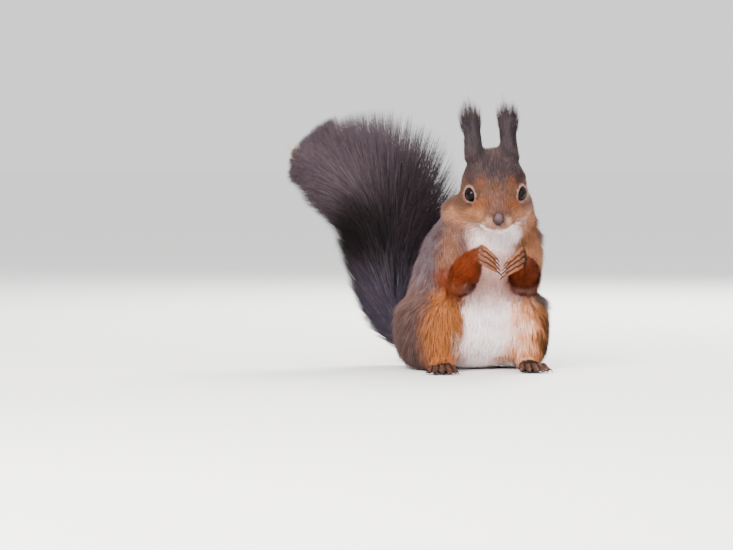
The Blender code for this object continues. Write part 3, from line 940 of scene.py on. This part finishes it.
# A tuft is a closed spindle of three sides: a point at the root, rings of three points at
# shares of a curve from root over bend to tip, each ring wide across the lie and thin through
# it, and a point at the tip. All tufts of a piece are worked out at once, as arrays of tuft,
# ring and corner. Their normals lean towards those of the form below, for a soft look.
def makeTufts(name, root, bend, tip, width, colours, material, outward, shares=(0.42,),
              swell=(1.0,), tones=(0.78, 1.0, 1.1)):
    count = len(root)
    lie = unit(tip - root)
    lift = bend - root + 1e-6 * outward
    out = unit(lift - lie * (lift * lie).sum(1, keepdims=True))
    across = np.cross(out, lie)
    rings, facing = [], []
    for at, wide in zip(shares, swell):
        centre = (1 - at) ** 2 * root + 2 * at * (1 - at) * bend + at ** 2 * tip
        half = (width * wide / 2)[:, None]
        for angle in np.radians((90, 210, 330)):
            rings.append(centre + across * half * np.cos(angle) * tuft["wide"]
                         + out * half * np.sin(angle) * tuft["thin"])
            facing.append(across * np.cos(angle) + out * np.sin(angle))
    points = np.stack([root, *rings, tip], 1).reshape(-1, 3)
    facing = np.stack([outward, *facing, outward], 1)
    normals = unit(facing * (1 - tuft["soft"]) + outward[:, None] * tuft["soft"]).reshape(-1, 3)
    layers = len(shares)
    step = 3 * layers + 2
    faces = []
    for i, j in ((1, 2), (2, 3), (3, 1)):
        faces.append((0, j, i))
        for low in range(0, 3 * (layers - 1), 3):
            faces += [(low + i, low + j, low + j + 3), (low + i, low + j + 3, low + i + 3)]
        faces.append((step - 5 + i, step - 5 + j, step - 1))
    allFaces = (np.arange(count)[:, None, None] * step + np.array(faces)).reshape(-1, 3)
    piece = makePiece(name, points, allFaces, material)
    piece.data.normals_split_custom_set_from_vertices(normals)

    along = np.array([0, *np.repeat(shares, 3), 1.0])
    tone = np.interp(along, np.linspace(0, 1, len(tones)), tones)
    setColours(piece.data, (colours[:, None] * tone[None, :, None]).reshape(-1, 3))
    setBakeMap(piece.data, root, along, allFaces)
    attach(piece, "root")
    return piece


# The bake's map: each tuft is a small patch at its root's place on the skin, unrolled round
# the piece's own long axis: angle across, distance along.
def setBakeMap(mesh, root, along, faces):
    middle = root.mean(0)
    axes = np.linalg.svd(root - middle, full_matrices=False)[2]
    local = (root - middle) @ axes.T
    angle = np.arctan2(local[:, 2], local[:, 1]) / math.tau + 0.5
    height = (local[:, 0] - local[:, 0].min()) / max(np.ptp(local[:, 0]), 1e-9)
    margin, span, patch = 0.004, 0.989, 0.003
    corner = np.array([0.5, *np.tile((0, 0.5, 1), len(along) // 3), 0.5])
    u = margin + span * angle[:, None] + patch * corner[None]
    v = margin + span * height[:, None] + patch * along[None]
    unrolled = np.stack([u, v], 2).reshape(-1, 2)
    layer = mesh.uv_layers.new(name="OFBake")
    layer.uv.foreach_set("vector", unrolled[faces.ravel()].astype(np.float32).ravel())


# tips drawn together: cells of a warped grid, each tip part of the way to its cell's mean
def clumped(root, tip, size, pull, seed):
    warp = np.stack([ripple(root, size * 3.1, seed + k) for k in range(3)], 1)
    cell = np.floor((root + warp * size * 0.6) / size).astype(np.int64)
    key = cell @ np.array([73856093, 19349663, 83492791])  # large primes keep the cells apart
    _, which = np.unique(key, return_inverse=True)
    number = np.bincount(which)
    mean, centre = (np.stack([np.bincount(which, column) for column in rows.T], 1)
                    for rows in (tip - root, root))
    goal = ((centre + mean) / number[:, None])[which]
    return tip + (goal - tip) * pull


# count places on the skin's faces of one mask, even by area: place, normal and face
def scatter(count, faceMask, pick):
    chance = np.where(faceMask, faceAreas, 0)
    chosen = pick.choice(len(faceAreas), count, p=chance / chance.sum())
    a, b = np.sort(pick.random((2, count)), axis=0)
    mix = np.stack([a, b - a, 1 - b], 1)
    corners = skinFaces[chosen]
    return ((skinPoints[corners] * mix[..., None]).sum(1),
            unit((skinNormals[corners] * mix[..., None]).sum(1)), chosen)


# the skin's triangles: areas, weights of the bones, piece of the coat, and whether off the tail
skin.data.calc_loop_triangles()
skinFaces = np.empty(len(skin.data.loop_triangles) * 3, np.int32)
skin.data.loop_triangles.foreach_get("vertices", skinFaces)
skinFaces = skinFaces.reshape(-1, 3)
edgeA = skinPoints[skinFaces[:, 1]] - skinPoints[skinFaces[:, 0]]
edgeB = skinPoints[skinFaces[:, 2]] - skinPoints[skinFaces[:, 0]]
faceAreas = np.linalg.norm(np.cross(edgeA, edgeB), axis=1) / 2
faceWeights = skinWeights[skinFaces].mean(1)
facePiece = np.array(bonePiece)[faceWeights.argmax(1)]
onBody = tailGap(skinPoints[skinFaces].mean(1)) > 8

coat = {  # piece: number of tufts, width, clump size and pull, slot
    "coat_face": (30000, 0.25, 1.5, 0.25, "coat_russet"),
    "coat_crown": (13000, 0.27, 1.8, 0.25, "coat_brown"),
    "coat_ears": (9000, 0.24, 2.0, 0.3, "coat_brown"),
    "coat_throat": (12000, 0.34, 3.0, 0.35, "coat_russet"),
    "coat_nape": (12000, 0.36, 3.4, 0.35, "coat_brown"),
    "coat_back": (16000, 0.38, 3.4, 0.3, "coat_brown"),
    "coat_belly": (16000, 0.34, 3.0, 0.22, "coat_brown"),
    "coat_arm_right": (9000, 0.30, 2.6, 0.3, "coat_rust"),
    "coat_arm_left": (9000, 0.30, 2.6, 0.3, "coat_rust"),
    "coat_thigh_right": (13000, 0.36, 3.0, 0.25, "coat_russet"),
    "coat_thigh_left": (13000, 0.36, 3.0, 0.25, "coat_russet"),
    "coat_paws": (17000, 0.16, 1.0, 0.12, "skin_paw"),
}
fur = {
    "lengths": (0.72, 1.12),  # least and most, as shares of the bones' hair length
    "widths": (0.7, 1.25),
    "rises": (0.55, 1.02),  # as shares of the coat's depth
    "leastRise": 0.18,
    "leastReach": 0.3,  # along the skin, as a share of the length
    "bend": (0.30, 0.85),  # shares of reach and rise at which a hair bends
    "stray": 0.16,  # how far single hairs turn out of the lie, and how far patches do
    "patchTurn": 0.20,
    "rootDepth": 0.25,
    "guardShare": 0.07,  # long pale hairs where the coat is deep
    "guardDepth": 1.8,
    "guardLonger": 0.42,
    "guardRise": 0.28,
    "guardSlim": 0.3,
    "tickedShare": 0.22,  # paler hairs in the dark parts, mostly the grey ones
    "tickedTone": 0.55,
    "darkShare": 0.18,  # darker hairs everywhere but in the white
    "darkTone": 0.62,
    "toneSpread": (0.13, 0.08),  # of single hairs, and of patches
    "flankDepth": 3.0,  # the coat stands further out on the left flank, at these heights
    "flankLength": 4.0,
    "flankHeights": ((50, 14, 4, 1.0), (74, 34, 22, 0.8)),  # middle, outer, inner half, share
    "flankSide": (24, 33),
    "eyeAway": (3.2, 0.8),  # gaps between which hairs turn away from the eye
    "eyeShort": 0.65,  # what hairs lose in length, and in rise, beside the eyes
    "eyeFlat": 0.5,
    "lidClear": 0.25,
}


# how the hair lies at each point: the bones' ways, turned out on the cheeks and kept clear of
# the eyes, then laid into the surface
def lieOf(points, normals, weights):
    way = weights @ boneWay
    head = toHead(points)
    for sign in sides.values():
        away = head - eyeFrame(sign)[0]
        gap = np.linalg.norm(away, axis=1) - pose["eyeRadius"]
        near = ramp(gap, *fur["eyeAway"]) * weightOf(weights, *headBones)
        way = blend(way, unit(away) @ headTurn.T, near * 0.8)
    way = way - normals * (way * normals).sum(1, keepdims=True)
    return unit(way)


# The tufts of one piece. Each starts on the skin, follows the lie over its length, and rises by
# the coat's depth; tips gather in clumps. Colours are the markings times a tone of its own.
def growCoat(name, seed):
    count, width, clump, pull, slot = coat[name]
    pick = np.random.default_rng(seed)
    root, normal, chosen = scatter(int(count * share), (facePiece == name) & onBody, pick)
    weights = faceWeights[chosen]
    head = toHead(root)
    onHead = weightOf(weights, *headBones) > 0.5
    noseGap = np.linalg.norm((head - nose["at"]) / nose["size"], axis=1)
    clear = ~(onHead & (noseGap < 1.0))
    for sign in sides.values():  # no hair grows on the eyeball or under it
        reach, gap = lidGap(head, sign)
        clear &= (gap > fur["lidClear"]) | (reach > pose["eyeRadius"] + 3)
    root, normal, weights, head, onHead = (
        rows[clear] for rows in (root, normal, weights, head, onHead))
    count = len(root)

    length = weights @ boneLength * pick.uniform(*fur["lengths"], count)
    depth = weights @ boneDepth
    deep = depth > fur["guardDepth"] * mm
    x, _, z = toBody(root).T
    flank = np.maximum(*(part * ramp(np.abs(z - middle), outer, inner)
                         for middle, outer, inner, part in fur["flankHeights"])) \
        * ramp(x, *fur["flankSide"]) * ~onHead
    depth += fur["flankDepth"] * mm * flank
    length += fur["flankLength"] * mm * flank
    eyeGap = np.minimum(*(np.linalg.norm(head - eyeFrame(sign)[0], axis=1)
                          for sign in sides.values())) - pose["eyeRadius"]
    offEye = ramp(eyeGap, 1.0, 7.0)
    shortened = (1 - fur["eyeShort"]) + fur["eyeShort"] * offEye
    length *= shortened
    depth *= (1 - fur["eyeFlat"]) + fur["eyeFlat"] * offEye
    lie = lieOf(root, normal, weights)
    sideways = np.cross(normal, lie)
    turn = fur["patchTurn"] * ripple(root, 14 * mm, 31) + pick.normal(0, fur["stray"], count)
    lie = lie * np.cos(turn)[:, None] + sideways * np.sin(turn)[:, None]
    guard = (pick.random(count) < fur["guardShare"]) & deep
    length *= 1 + fur["guardLonger"] * guard
    rise = depth * (pick.uniform(*fur["rises"], count) + fur["guardRise"] * guard) \
        + fur["leastRise"] * mm
    reach = np.sqrt(np.maximum(length ** 2 - rise ** 2, (fur["leastReach"] * length) ** 2))
    tip = root + lie * reach[:, None] + normal * rise[:, None]
    forth, up = fur["bend"]
    bend = root + lie * (reach * forth)[:, None] + normal * (rise * up)[:, None]
    tip = clumped(root, tip, clump * mm, pull, seed + 7)
    tip[:, 2] = np.maximum(tip[:, 2], 0.3 * mm + pick.random(count) * 0.5 * mm)
    bend[:, 2] = np.maximum(bend[:, 2], 0.4 * mm)

    colours = markings(root, weights)
    single, patch = fur["toneSpread"]
    tone = pick.normal(1, single, count) + patch * ripple(root, 5 * mm, 44)
    grey = weightOf(weights, "skull", "nape", "back", "thigh", "upperArm", "ear", "brow")
    ticked = (pick.random(count) < fur["tickedShare"]) & (colours.mean(1) < 0.11)
    tone = np.where(ticked, tone * (1 + fur["tickedTone"] * grey), tone)
    dark = (pick.random(count) < fur["darkShare"]) & (colours.mean(1) < 0.2)
    tone = np.where(dark, tone * fur["darkTone"], tone)
    tone = np.where(guard, np.maximum(tone, 1.0) * 1.25, tone)
    colours = np.clip(colours * np.clip(tone, 0.4, 2.2)[:, None], 0.002, 0.97)
    width = width * mm * pick.uniform(*fur["widths"], count) * (0.6 + 0.4 * shortened)
    width *= 1 - fur["guardSlim"] * guard
    root = root - normal * fur["rootDepth"] * mm
    piece = makeTufts(name, root, bend, tip, width, colours, coatMaterial, normal)
    return len(root)


for number, name in enumerate(coat):
    print(name, growCoat(name, 100 + number), "tufts")


# Each hair starts on the core and ends near the tail's outline further along. The outline is
# an oval: the half thickness times the cosine, the reach on that side times the sine.
def growTail():
    pick = np.random.default_rng(71)
    count = int(tail["count"] * share)
    t = pick.beta(*tail["along"], count)
    turn = pick.uniform(0, math.tau, count)
    middle, tangent, across, upward, _ = tailAt(t)
    thick, thin = tail["coreTaper"]
    core = tail["core"] * (thick - (thick - thin) * t)
    way = across * np.cos(turn)[:, None] + upward * np.sin(turn)[:, None]
    root = middle + way * (core * 0.8)[:, None]
    near, later = tail["advance"]
    advance = (near + (later - near) * ramp(t, 0, 0.5)) * pick.uniform(*tail["lengths"], count)
    cap = np.arcsin(0.985 * pick.random(count)) / tail["capAngle"]  # even over the rounded tip
    tipPlace = np.where(t + advance > 1, 1 + tail["capShare"] * cap, t + advance)
    turn += pick.normal(0, tail["stray"], count)
    end, endTangent, endAcross, endUp, reach = tailAt(tipPlace)
    outer = np.where(np.sin(turn) > 0, reach[:, 1], reach[:, 2])
    spoke = endAcross * (tail["flatten"] * np.cos(turn) * reach[:, 0])[:, None] \
        + endUp * (np.sin(turn) * outer)[:, None]

    # how much of the outline each hair fills: more half way up outside the curve, low down
    # inside it and at the tip, less at the root
    fuller, inside = tail["fuller"], ramp(np.sin(turn), 0, 0.5)
    most, loss, power = tail["fill"]
    further, proudShare = tail["proud"]
    fill = most - loss * pick.random(count) ** power + further * (pick.random(count) < proudShare)
    fill += fuller["outside"] * ramp(np.abs(t - 0.6), 0.32, 0.12) * ramp(np.sin(turn), 0, -0.5)
    fill += fuller["inside"] * ramp(np.abs(t - 0.3), 0.22, 0.1) * inside
    fill += fuller["tip"] * ramp(tipPlace, 0.72, 0.98) * inside
    fill *= tail["rootFill"] + (1 - tail["rootFill"]) * ramp(t, 0, 0.12)
    blond = (pick.random(count) < tail["blondShare"]) & (tipPlace > 1.08) & (np.sin(turn) > -0.2)
    tip = end + spoke * (fill * (1 - 0.3 * blond))[:, None] \
        + endTangent * (blond * pick.uniform(*tail["blondLength"], count))[:, None]
    endWay = unit(spoke + 1e-6 * endUp)
    tipWay = unit(endWay + 0.3 * endTangent)
    bend = root * 0.5 + tip * 0.5 + spoke * (fill * 0.16)[:, None] - tangent * 1.0
    root, bend, tip = (rows * mm + home for rows in (root, bend, tip))
    drawn = clumped((root * 0.4 + tip * 0.6), tip, tail["clump"] * mm, tail["pull"], 5) - tip
    tip = tip + drawn - endWay * (drawn * endWay).sum(1, keepdims=True)
    for rows in (root, bend, tip):
        rows[:, 2] = np.maximum(rows[:, 2], 0.5 * mm)

    outside = ramp(np.sin(turn), 0.2, -0.6)
    colours = np.tile(np.array(tail["brown"]), (count, 1))
    colours = blend(colours, tail["grey"], ramp(t, 0.45, 0.2))
    # the inner bend's painted shade: near-black on the forward side, less outside the curve
    dark = ramp(np.abs(t - tail["bendShadeAt"] + 0.04 * outside), *tail["bendShadeSpread"]) \
        * (1 - 0.35 * outside * fill) * ramp(np.cos(turn), 0.6, -0.2)
    dark = np.clip(1.1 * dark, 0, 0.95)
    colours = blend(colours, tail["dark"], dark)
    pale = (pick.random(count) < tail["paleShare"]) * 0.6 * (1 - 0.8 * dark)
    colours = blend(colours, tail["pale"], pale)
    colours = blend(colours, tail["blond"], blond * 0.8)
    colours *= np.clip(pick.normal(1, 0.2, count), 0.5, 1.8)[:, None]
    width = tail["width"] * mm * pick.uniform(*tail["widths"], count)
    for k, (low, high) in enumerate(zip(tail["cuts"], tail["cuts"][1:])):
        part = (t >= low) & (t < high)
        piece = makeTufts(f"coat_tail_{k + 1}", root[part], bend[part], tip[part], width[part],
                          colours[part], tailMaterial, tipWay[part], shares=(0.6,),
                          tones=(0.4, 0.9, 1.25))
        print(piece.name, part.sum(), "tufts")


growTail()

earTuft = {
    "count": 1500,
    "below": 9,  # how far below the ear's top the lowest hairs stand
    "band": 7.5,  # how far up they are spread, and the ear's half width and depth there
    "halfWidth": (3.4, 1.6),  # at the top, and how much more below
    "halfDepth": 2.0,
    "length": 23,
    "shortest": 0.2,  # as a share of the length
    "lowerLonger": 5,
    "spread": 11.0,
    "wisp": 2.6,  # size of the wisps, and how far tips are drawn into them
    "pull": 0.75,
    "width": 0.15,
    "colour": (0.034, 0.024, 0.024),
}


# hairs stand on the ear's upper edge, of many lengths, and draw together into a few wisps
def growEarTuft(side, sign):
    pick = np.random.default_rng(81 + sign)
    count = earTuft["count"]
    base = fromHead(earPoint(sign, ear["length"] - earTuft["below"]))
    lean = unit(fromHead(earPoint(sign, ear["length"])) - base)
    acrossWay = unit(np.cross(lean, (0.2 * sign, -1, 0)))
    deepWay = np.cross(lean, acrossWay)
    a = pick.uniform(-1, 1, count)
    b = pick.uniform(-1, 1, count) * np.sqrt(1 - a ** 2)
    down = pick.random(count)
    half, more = earTuft["halfWidth"]
    root = base + lean * ((1 - down) * earTuft["band"] * mm)[:, None] \
        + acrossWay * (a * (half + more * down) * mm)[:, None] \
        + deepWay * (b * earTuft["halfDepth"] * mm)[:, None]
    wisps = 0.72 + 0.28 * ripple(root, 3.0 * mm, 85 + sign)
    least = earTuft["shortest"]
    size = earTuft["length"] * (least + (1 - least) * pick.random(count) ** 0.9) * wisps \
        * (1 - 0.3 * a ** 2) + earTuft["lowerLonger"] * down
    sideways = a * 0.45 * size / earTuft["length"] + pick.normal(0, 0.12, count)
    tip = root + lean * (size * mm)[:, None] \
        + acrossWay * (sideways * earTuft["spread"] * mm)[:, None] \
        + deepWay * (b * 1.2 * mm)[:, None]
    drawn = clumped(root, tip, earTuft["wisp"] * mm, 1.0, 9) - tip
    drawn -= lean * (drawn @ lean)[:, None]
    tip = tip + drawn * (earTuft["pull"] * (size / earTuft["length"]))[:, None]
    bend = root * 0.55 + tip * 0.45 + acrossWay * (a * 0.8 * mm)[:, None]
    colours = np.tile(np.array(earTuft["colour"]), (count, 1)) \
        * np.clip(pick.normal(1, 0.25, count), 0.5, 1.9)[:, None]
    outward = unit(acrossWay * a[:, None] + deepWay * b[:, None] + 0.3 * lean)
    width = earTuft["width"] * mm * pick.uniform(0.7, 1.2, count)
    piece = makeTufts(f"coat_ear_tuft_{side}", root, bend, tip, width, colours, tailMaterial,
                      outward, shares=(0.35, 0.7), swell=(1, 0.75), tones=(0.9, 1, 1.15))


for side, sign in sides.items():
    growEarTuft(side, sign)
print("coat grown")

eye = {"inset": 0.05, "cornea": 0.28, "corneaEdge": (0.85, 0.1),  # radians from the axis
       "dark": (0.0015, 0.001, 0.001), "pale": (0.004, 0.002, 0.0015)}
eyeMaterial = tonedMaterial("wetEye", 0.06, 0.075, 700, eye["dark"], eye["pale"])
lidMaterial = tonedMaterial("lidSkin", 0.6, 0.08, 2500, 0.6 * np.array(lids["colour"]),
                            1.5 * np.array(lids["colour"]))


# a ball whose front rises a little as the cornea: radius plus a smooth cap round the axis
def makeEye(side, sign):
    centre, axis, corner, upward = eyeFrame(sign)
    rings, count = 33, 48
    angle = np.linspace(0.02, math.pi - 0.02, rings)[:, None, None]
    turn = (np.arange(count) * math.tau / count)[None, :, None]
    ball = pose["eyeRadius"] - eye["inset"]
    radius = ball + eye["cornea"] * ramp(angle, *eye["corneaEdge"])
    shell = centre + radius * (np.cos(angle) * axis
                               + np.sin(angle) * (np.cos(turn) * corner + np.sin(turn) * upward))
    poles = centre + axis * (ball + eye["cornea"]), centre - axis * ball
    points = fromHead(np.vstack([shell.reshape(-1, 3), *poles]))
    piece = makePiece(f"eyeball_{side}", points, ringFaces(rings, count), eyeMaterial)
    orient(piece)
    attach(piece, "root")
    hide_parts(f"eye_{side}")


# turns a closed mesh's faces outward
def orient(piece):
    work = bmesh.new()
    work.from_mesh(piece.data)
    bmesh.ops.recalc_face_normals(work, faces=work.faces)
    work.to_mesh(piece.data)
    work.free()


# the lid's bare rim: a small round section carried round the opening, on the eyeball
def makeLid(side, sign):
    centre, axis, corner, upward = eyeFrame(sign)
    count, around = 72, 10
    turn = np.arange(count) * math.tau / count
    opening = lidAngle(turn)[:, None]
    spoke = np.cos(turn)[:, None] * corner + np.sin(turn)[:, None] * upward
    outward = np.cos(opening) * axis + np.sin(opening) * spoke
    along = -np.sin(opening) * axis + np.cos(opening) * spoke
    bead = np.arange(around) * math.tau / around
    section = (np.cos(bead)[None, :, None] * outward[:, None] * lids["rim"]
               + np.sin(bead)[None, :, None] * along[:, None] * lids["rim"] * lids["rimWide"])
    path = centre + outward * (pose["eyeRadius"] + lids["rimOff"])
    points = fromHead((path[:, None] + section).reshape(-1, 3))
    k, j = np.meshgrid(np.arange(count), np.arange(around), indexing="ij")
    nextK, nextJ = (k + 1) % count, (j + 1) % around
    faces = np.stack([k * around + j, nextK * around + j, nextK * around + nextJ,
                      k * around + nextJ], 2).reshape(-1, 4)
    piece = makePiece(f"lid_{side}", points, faces, lidMaterial)
    orient(piece)
    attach(piece, "root")


for side, sign in sides.items():
    makeEye(side, sign)
    makeLid(side, sign)
print("eyes and lids")

noseMaterial, noseTree, noseShader = makeMaterial("noseSkin", 0.45, 0.22)
noseTree.links.new(addMarks(noseTree), noseShader.inputs["Base Color"])
addBump(noseTree, 3200, 2.0, 0.5, 0.2 * mm)


# an oval pad, narrower below, with two comma-shaped dents and a groove down its middle
def makeNose():
    rings, count = 41, 64
    lift = np.linspace(-math.pi / 2 + 0.03, math.pi / 2 - 0.03, rings)[:, None]
    turn = (np.arange(count) * math.tau / count)[None, :]
    x = np.cos(lift) * np.sin(turn)
    y = -np.cos(lift) * np.cos(turn)
    z = np.sin(lift) + 0 * turn
    below, above = nose["narrow"]
    wide = 1 - below * ramp(-z, -0.2, 1.0) - above * ramp(z, 0.3, 1.0)
    halfWidth, halfDepth, halfHeight = nose["size"]
    px, py, pz = x * halfWidth * wide, y * halfDepth, z * halfHeight
    front = ramp(y, 0.0, -0.45)
    nx, nz = nose["nostril"]
    comma = np.hypot((np.abs(px) - nx - 0.35 * (pz - nz)) / 0.85, (pz - nz) / 0.6)
    dent = ramp(comma, 1.25, 0.35) * front
    groove = np.exp(-(px / 0.32) ** 2) * ramp(pz, 0.9, -0.4) * front
    wing = np.exp(-((comma - 1.5) / 0.45) ** 2) * front * nose["wing"]
    scale = 1 - (nose["deep"] * dent + nose["groove"] * groove) / halfDepth + wing / halfDepth
    py = py * scale + nose["brow"] * np.maximum(pz, 0)
    grid = np.stack([px * scale, py, pz * scale], 2).reshape(-1, 3)
    poles = (0, 0, -halfHeight), (0, 0, halfHeight)
    points = np.vstack([grid, *poles]) + nose["at"]
    piece = makePiece("nose_pad", fromHead(points), ringFaces(rings, count), noseMaterial)
    orient(piece)
    height = points[:-2, 2] - nose["at"][2]
    # a painted highlight on the pad's top
    pale = ramp(height, 0.8, 3.2) * ramp(np.abs(points[:-2, 0]), 3.2, 0.8)
    # painted shade in the nostrils' dents, the groove and round the sides and back
    rim = 0.6 * ramp(y, -0.45, -0.1)
    shade = np.maximum(np.maximum(dent, 0.8 * groove), rim).ravel()
    colour = np.tile(np.array(nose["colour"]), (len(points), 1))
    colour = blend(colour, nose["pale"], np.append(pale, (0, 0)))
    colour = blend(colour, nose["dark"], np.append(shade, (0, 0)))
    colour *= (1 + 0.2 * ripple(points, 1.1, 3))[:, None]
    setColours(piece.data, np.clip(colour, 0.01, 1))
    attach(piece, "root")
    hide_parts("nose")


makeNose()

claw = {"dark": (0.007, 0.005, 0.0045), "pale": (0.028, 0.019, 0.015)}
clawMaterial = tonedMaterial("clawHorn", 0.35, 0.25, 1800, claw["dark"], claw["pale"])


# the solid's own triangles, merged and rounded by subdivision
def makeClaw(node):
    work = bmesh.new()
    work.from_mesh(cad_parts[node].data)
    bmesh.ops.remove_doubles(work, verts=work.verts, dist=0.002 * mm)
    mesh = bpy.data.meshes.new(node + "_horn")
    work.to_mesh(mesh)
    work.free()
    mesh.shade_smooth()
    mesh.materials.append(clawMaterial)
    piece = bpy.data.objects.new(node + "_horn", mesh)
    scene.collection.objects.link(piece)
    rounded = piece.modifiers.new("rounded", "SUBSURF")
    rounded.levels = 1
    rounded.render_levels = 1
    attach(piece, "root")
    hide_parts(node)


for node in sorted(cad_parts):
    if node.startswith("claw_"):
        makeClaw(node)

whiskers = {
    "count": 9,  # three rows, and three columns from front to back
    "start": (6.0, -19.5, -4.2),
    "columnStep": (1.2, 2.3, 0),
    "rowStep": (0, 0, -1.7),
    "way": (1.0, -0.25, 0.25),
    "columnTurn": (0, 0.28, 0),
    "rowTurn": (0, 0, -0.3),
    "sag": (-0.06, 0.30, -0.22),  # how far a tip hangs off its way, as shares of the length
    "length": (17, 30),
    "radius": 0.085,
    "dark": (0.010, 0.007, 0.006),
    "pale": (0.05, 0.036, 0.03),
}
whiskerMaterial = tonedMaterial("whisker", 0.45, 0.15, 300, whiskers["dark"], whiskers["pale"])


# tapering hairs from rows on the whisker pad, out to the side, back and down in an arc
def makeWhiskers(side, sign):
    pick = np.random.default_rng(91 + sign)
    start, columnStep, rowStep, way, columnTurn, rowTurn, sag = (
        np.array(whiskers[name]) * (sign, 1, 1)
        for name in ("start", "columnStep", "rowStep", "way", "columnTurn", "rowTurn", "sag"))
    shortest, longest = whiskers["length"]
    t = np.linspace(0, 1, 9)[:, None]
    allPoints, allFaces, total = [], [], 0
    for k in range(whiskers["count"]):
        row, column = k % 3, k // 3
        length = shortest + (longest - shortest) * pick.uniform(0.4, 1)
        ahead = unit(way + columnTurn * column + rowTurn * row + pick.normal(0, 0.06, 3))
        path = start + columnStep * column + rowStep * row + ahead * length * t \
            + sag * length * t ** 2
        radius = whiskers["radius"] * (1 - 0.85 * t[:, 0])
        points, faces = tube(fromHead(path), radius * mm, 5)
        allPoints.append(points)
        allFaces.append(faces + total)
        total += len(points)
    piece = makePiece(f"whiskers_{side}", np.vstack(allPoints), np.vstack(allFaces),
                      whiskerMaterial)
    orient(piece)
    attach(piece, "root")


for side, sign in sides.items():
    makeWhiskers(side, sign)
print("nose, claws and whiskers")

stageSpec = {"floor": 30, "floorColour": (0.74, 0.73, 0.71), "sky": (0.80, 0.81, 0.83),
             "horizon": (0.585, 0.588, 0.588), "skyFrom": 0.1, "skyTo": 0.7, "strength": 2.1}
floorMaterial, _, floorShader = makeMaterial("paleFloor", 0.85, 0.1)
floorShader.inputs["Base Color"].default_value = (*stageSpec["floorColour"], 1)
reach = stageSpec["floor"]
corners = np.array([(-reach, -reach, 0), (reach, -reach, 0), (reach, reach, 0),
                    (-reach, reach, 0)], float)
floor = makePiece("floor", corners, np.array([[0, 1, 2, 3]]), floorMaterial, smooth=False)

# the backdrop is as bright as the far floor at the horizon and brighter overhead
world = bpy.data.worlds.new("studio")
world.use_nodes = True
tree = world.node_tree
direction = addNode(tree, "TexCoord")
height = addNode(tree, "SeparateXYZ")
rise = addNode(tree, "MapRange", {"From Min": stageSpec["skyFrom"],
                                  "From Max": stageSpec["skyTo"]})
tree.links.new(direction.outputs["Generated"], height.inputs["Vector"])
tree.links.new(height.outputs["Z"], rise.inputs["Value"])
sky = addTones(tree, rise.outputs["Result"], stageSpec["horizon"], stageSpec["sky"])
tree.links.new(sky, tree.nodes["Background"].inputs["Color"])
tree.nodes["Background"].inputs["Strength"].default_value = stageSpec["strength"]
scene.world = world

lamps = {  # name: place, size, power in watts, colour
    "key": ((-0.45, -1.1, 0.75), 0.7, 55, (1.0, 0.965, 0.93)),
    "fill": ((0.9, -0.9, 0.4), 0.9, 14, (0.96, 0.97, 1.0)),
    "rim": ((0.35, 0.95, 0.9), 0.7, 48, (1.0, 0.98, 0.95)),
}
aim = Vector(eyeMiddle * (1, 1, 0.6))
for name, (place, size, power, colour) in lamps.items():
    data = bpy.data.lights.new(name, "AREA")
    data.size = size
    data.energy = power
    data.color = colour
    lamp = bpy.data.objects.new(name, data)
    lamp.location = place
    lamp.rotation_euler = (aim - Vector(place)).to_track_quat("-Z", "Y").to_euler()
    scene.collection.objects.link(lamp)

cameraSpec = {"distance": 2.1, "elevation": 2.0, "frameWidth": 0.4545, "sensor": 36,
              "aim": (-65.4, 0, 58.3)}  # the middle of the view, from the body's origin
cameraData = bpy.data.cameras.new("camera")
cameraData.sensor_width = cameraSpec["sensor"]
cameraData.lens = cameraSpec["sensor"] * cameraSpec["distance"] / cameraSpec["frameWidth"]
cameraData.clip_end = 200
camera = bpy.data.objects.new("camera", cameraData)
scene.collection.objects.link(camera)
target = Vector(home + np.array(cameraSpec["aim"]) * mm)
tilt = math.radians(cameraSpec["elevation"])
camera.location = target + Vector((0, -math.cos(tilt), math.sin(tilt))) * cameraSpec["distance"]
camera.rotation_euler = (math.radians(90) - tilt, 0, 0)
scene.camera = camera

print("done")
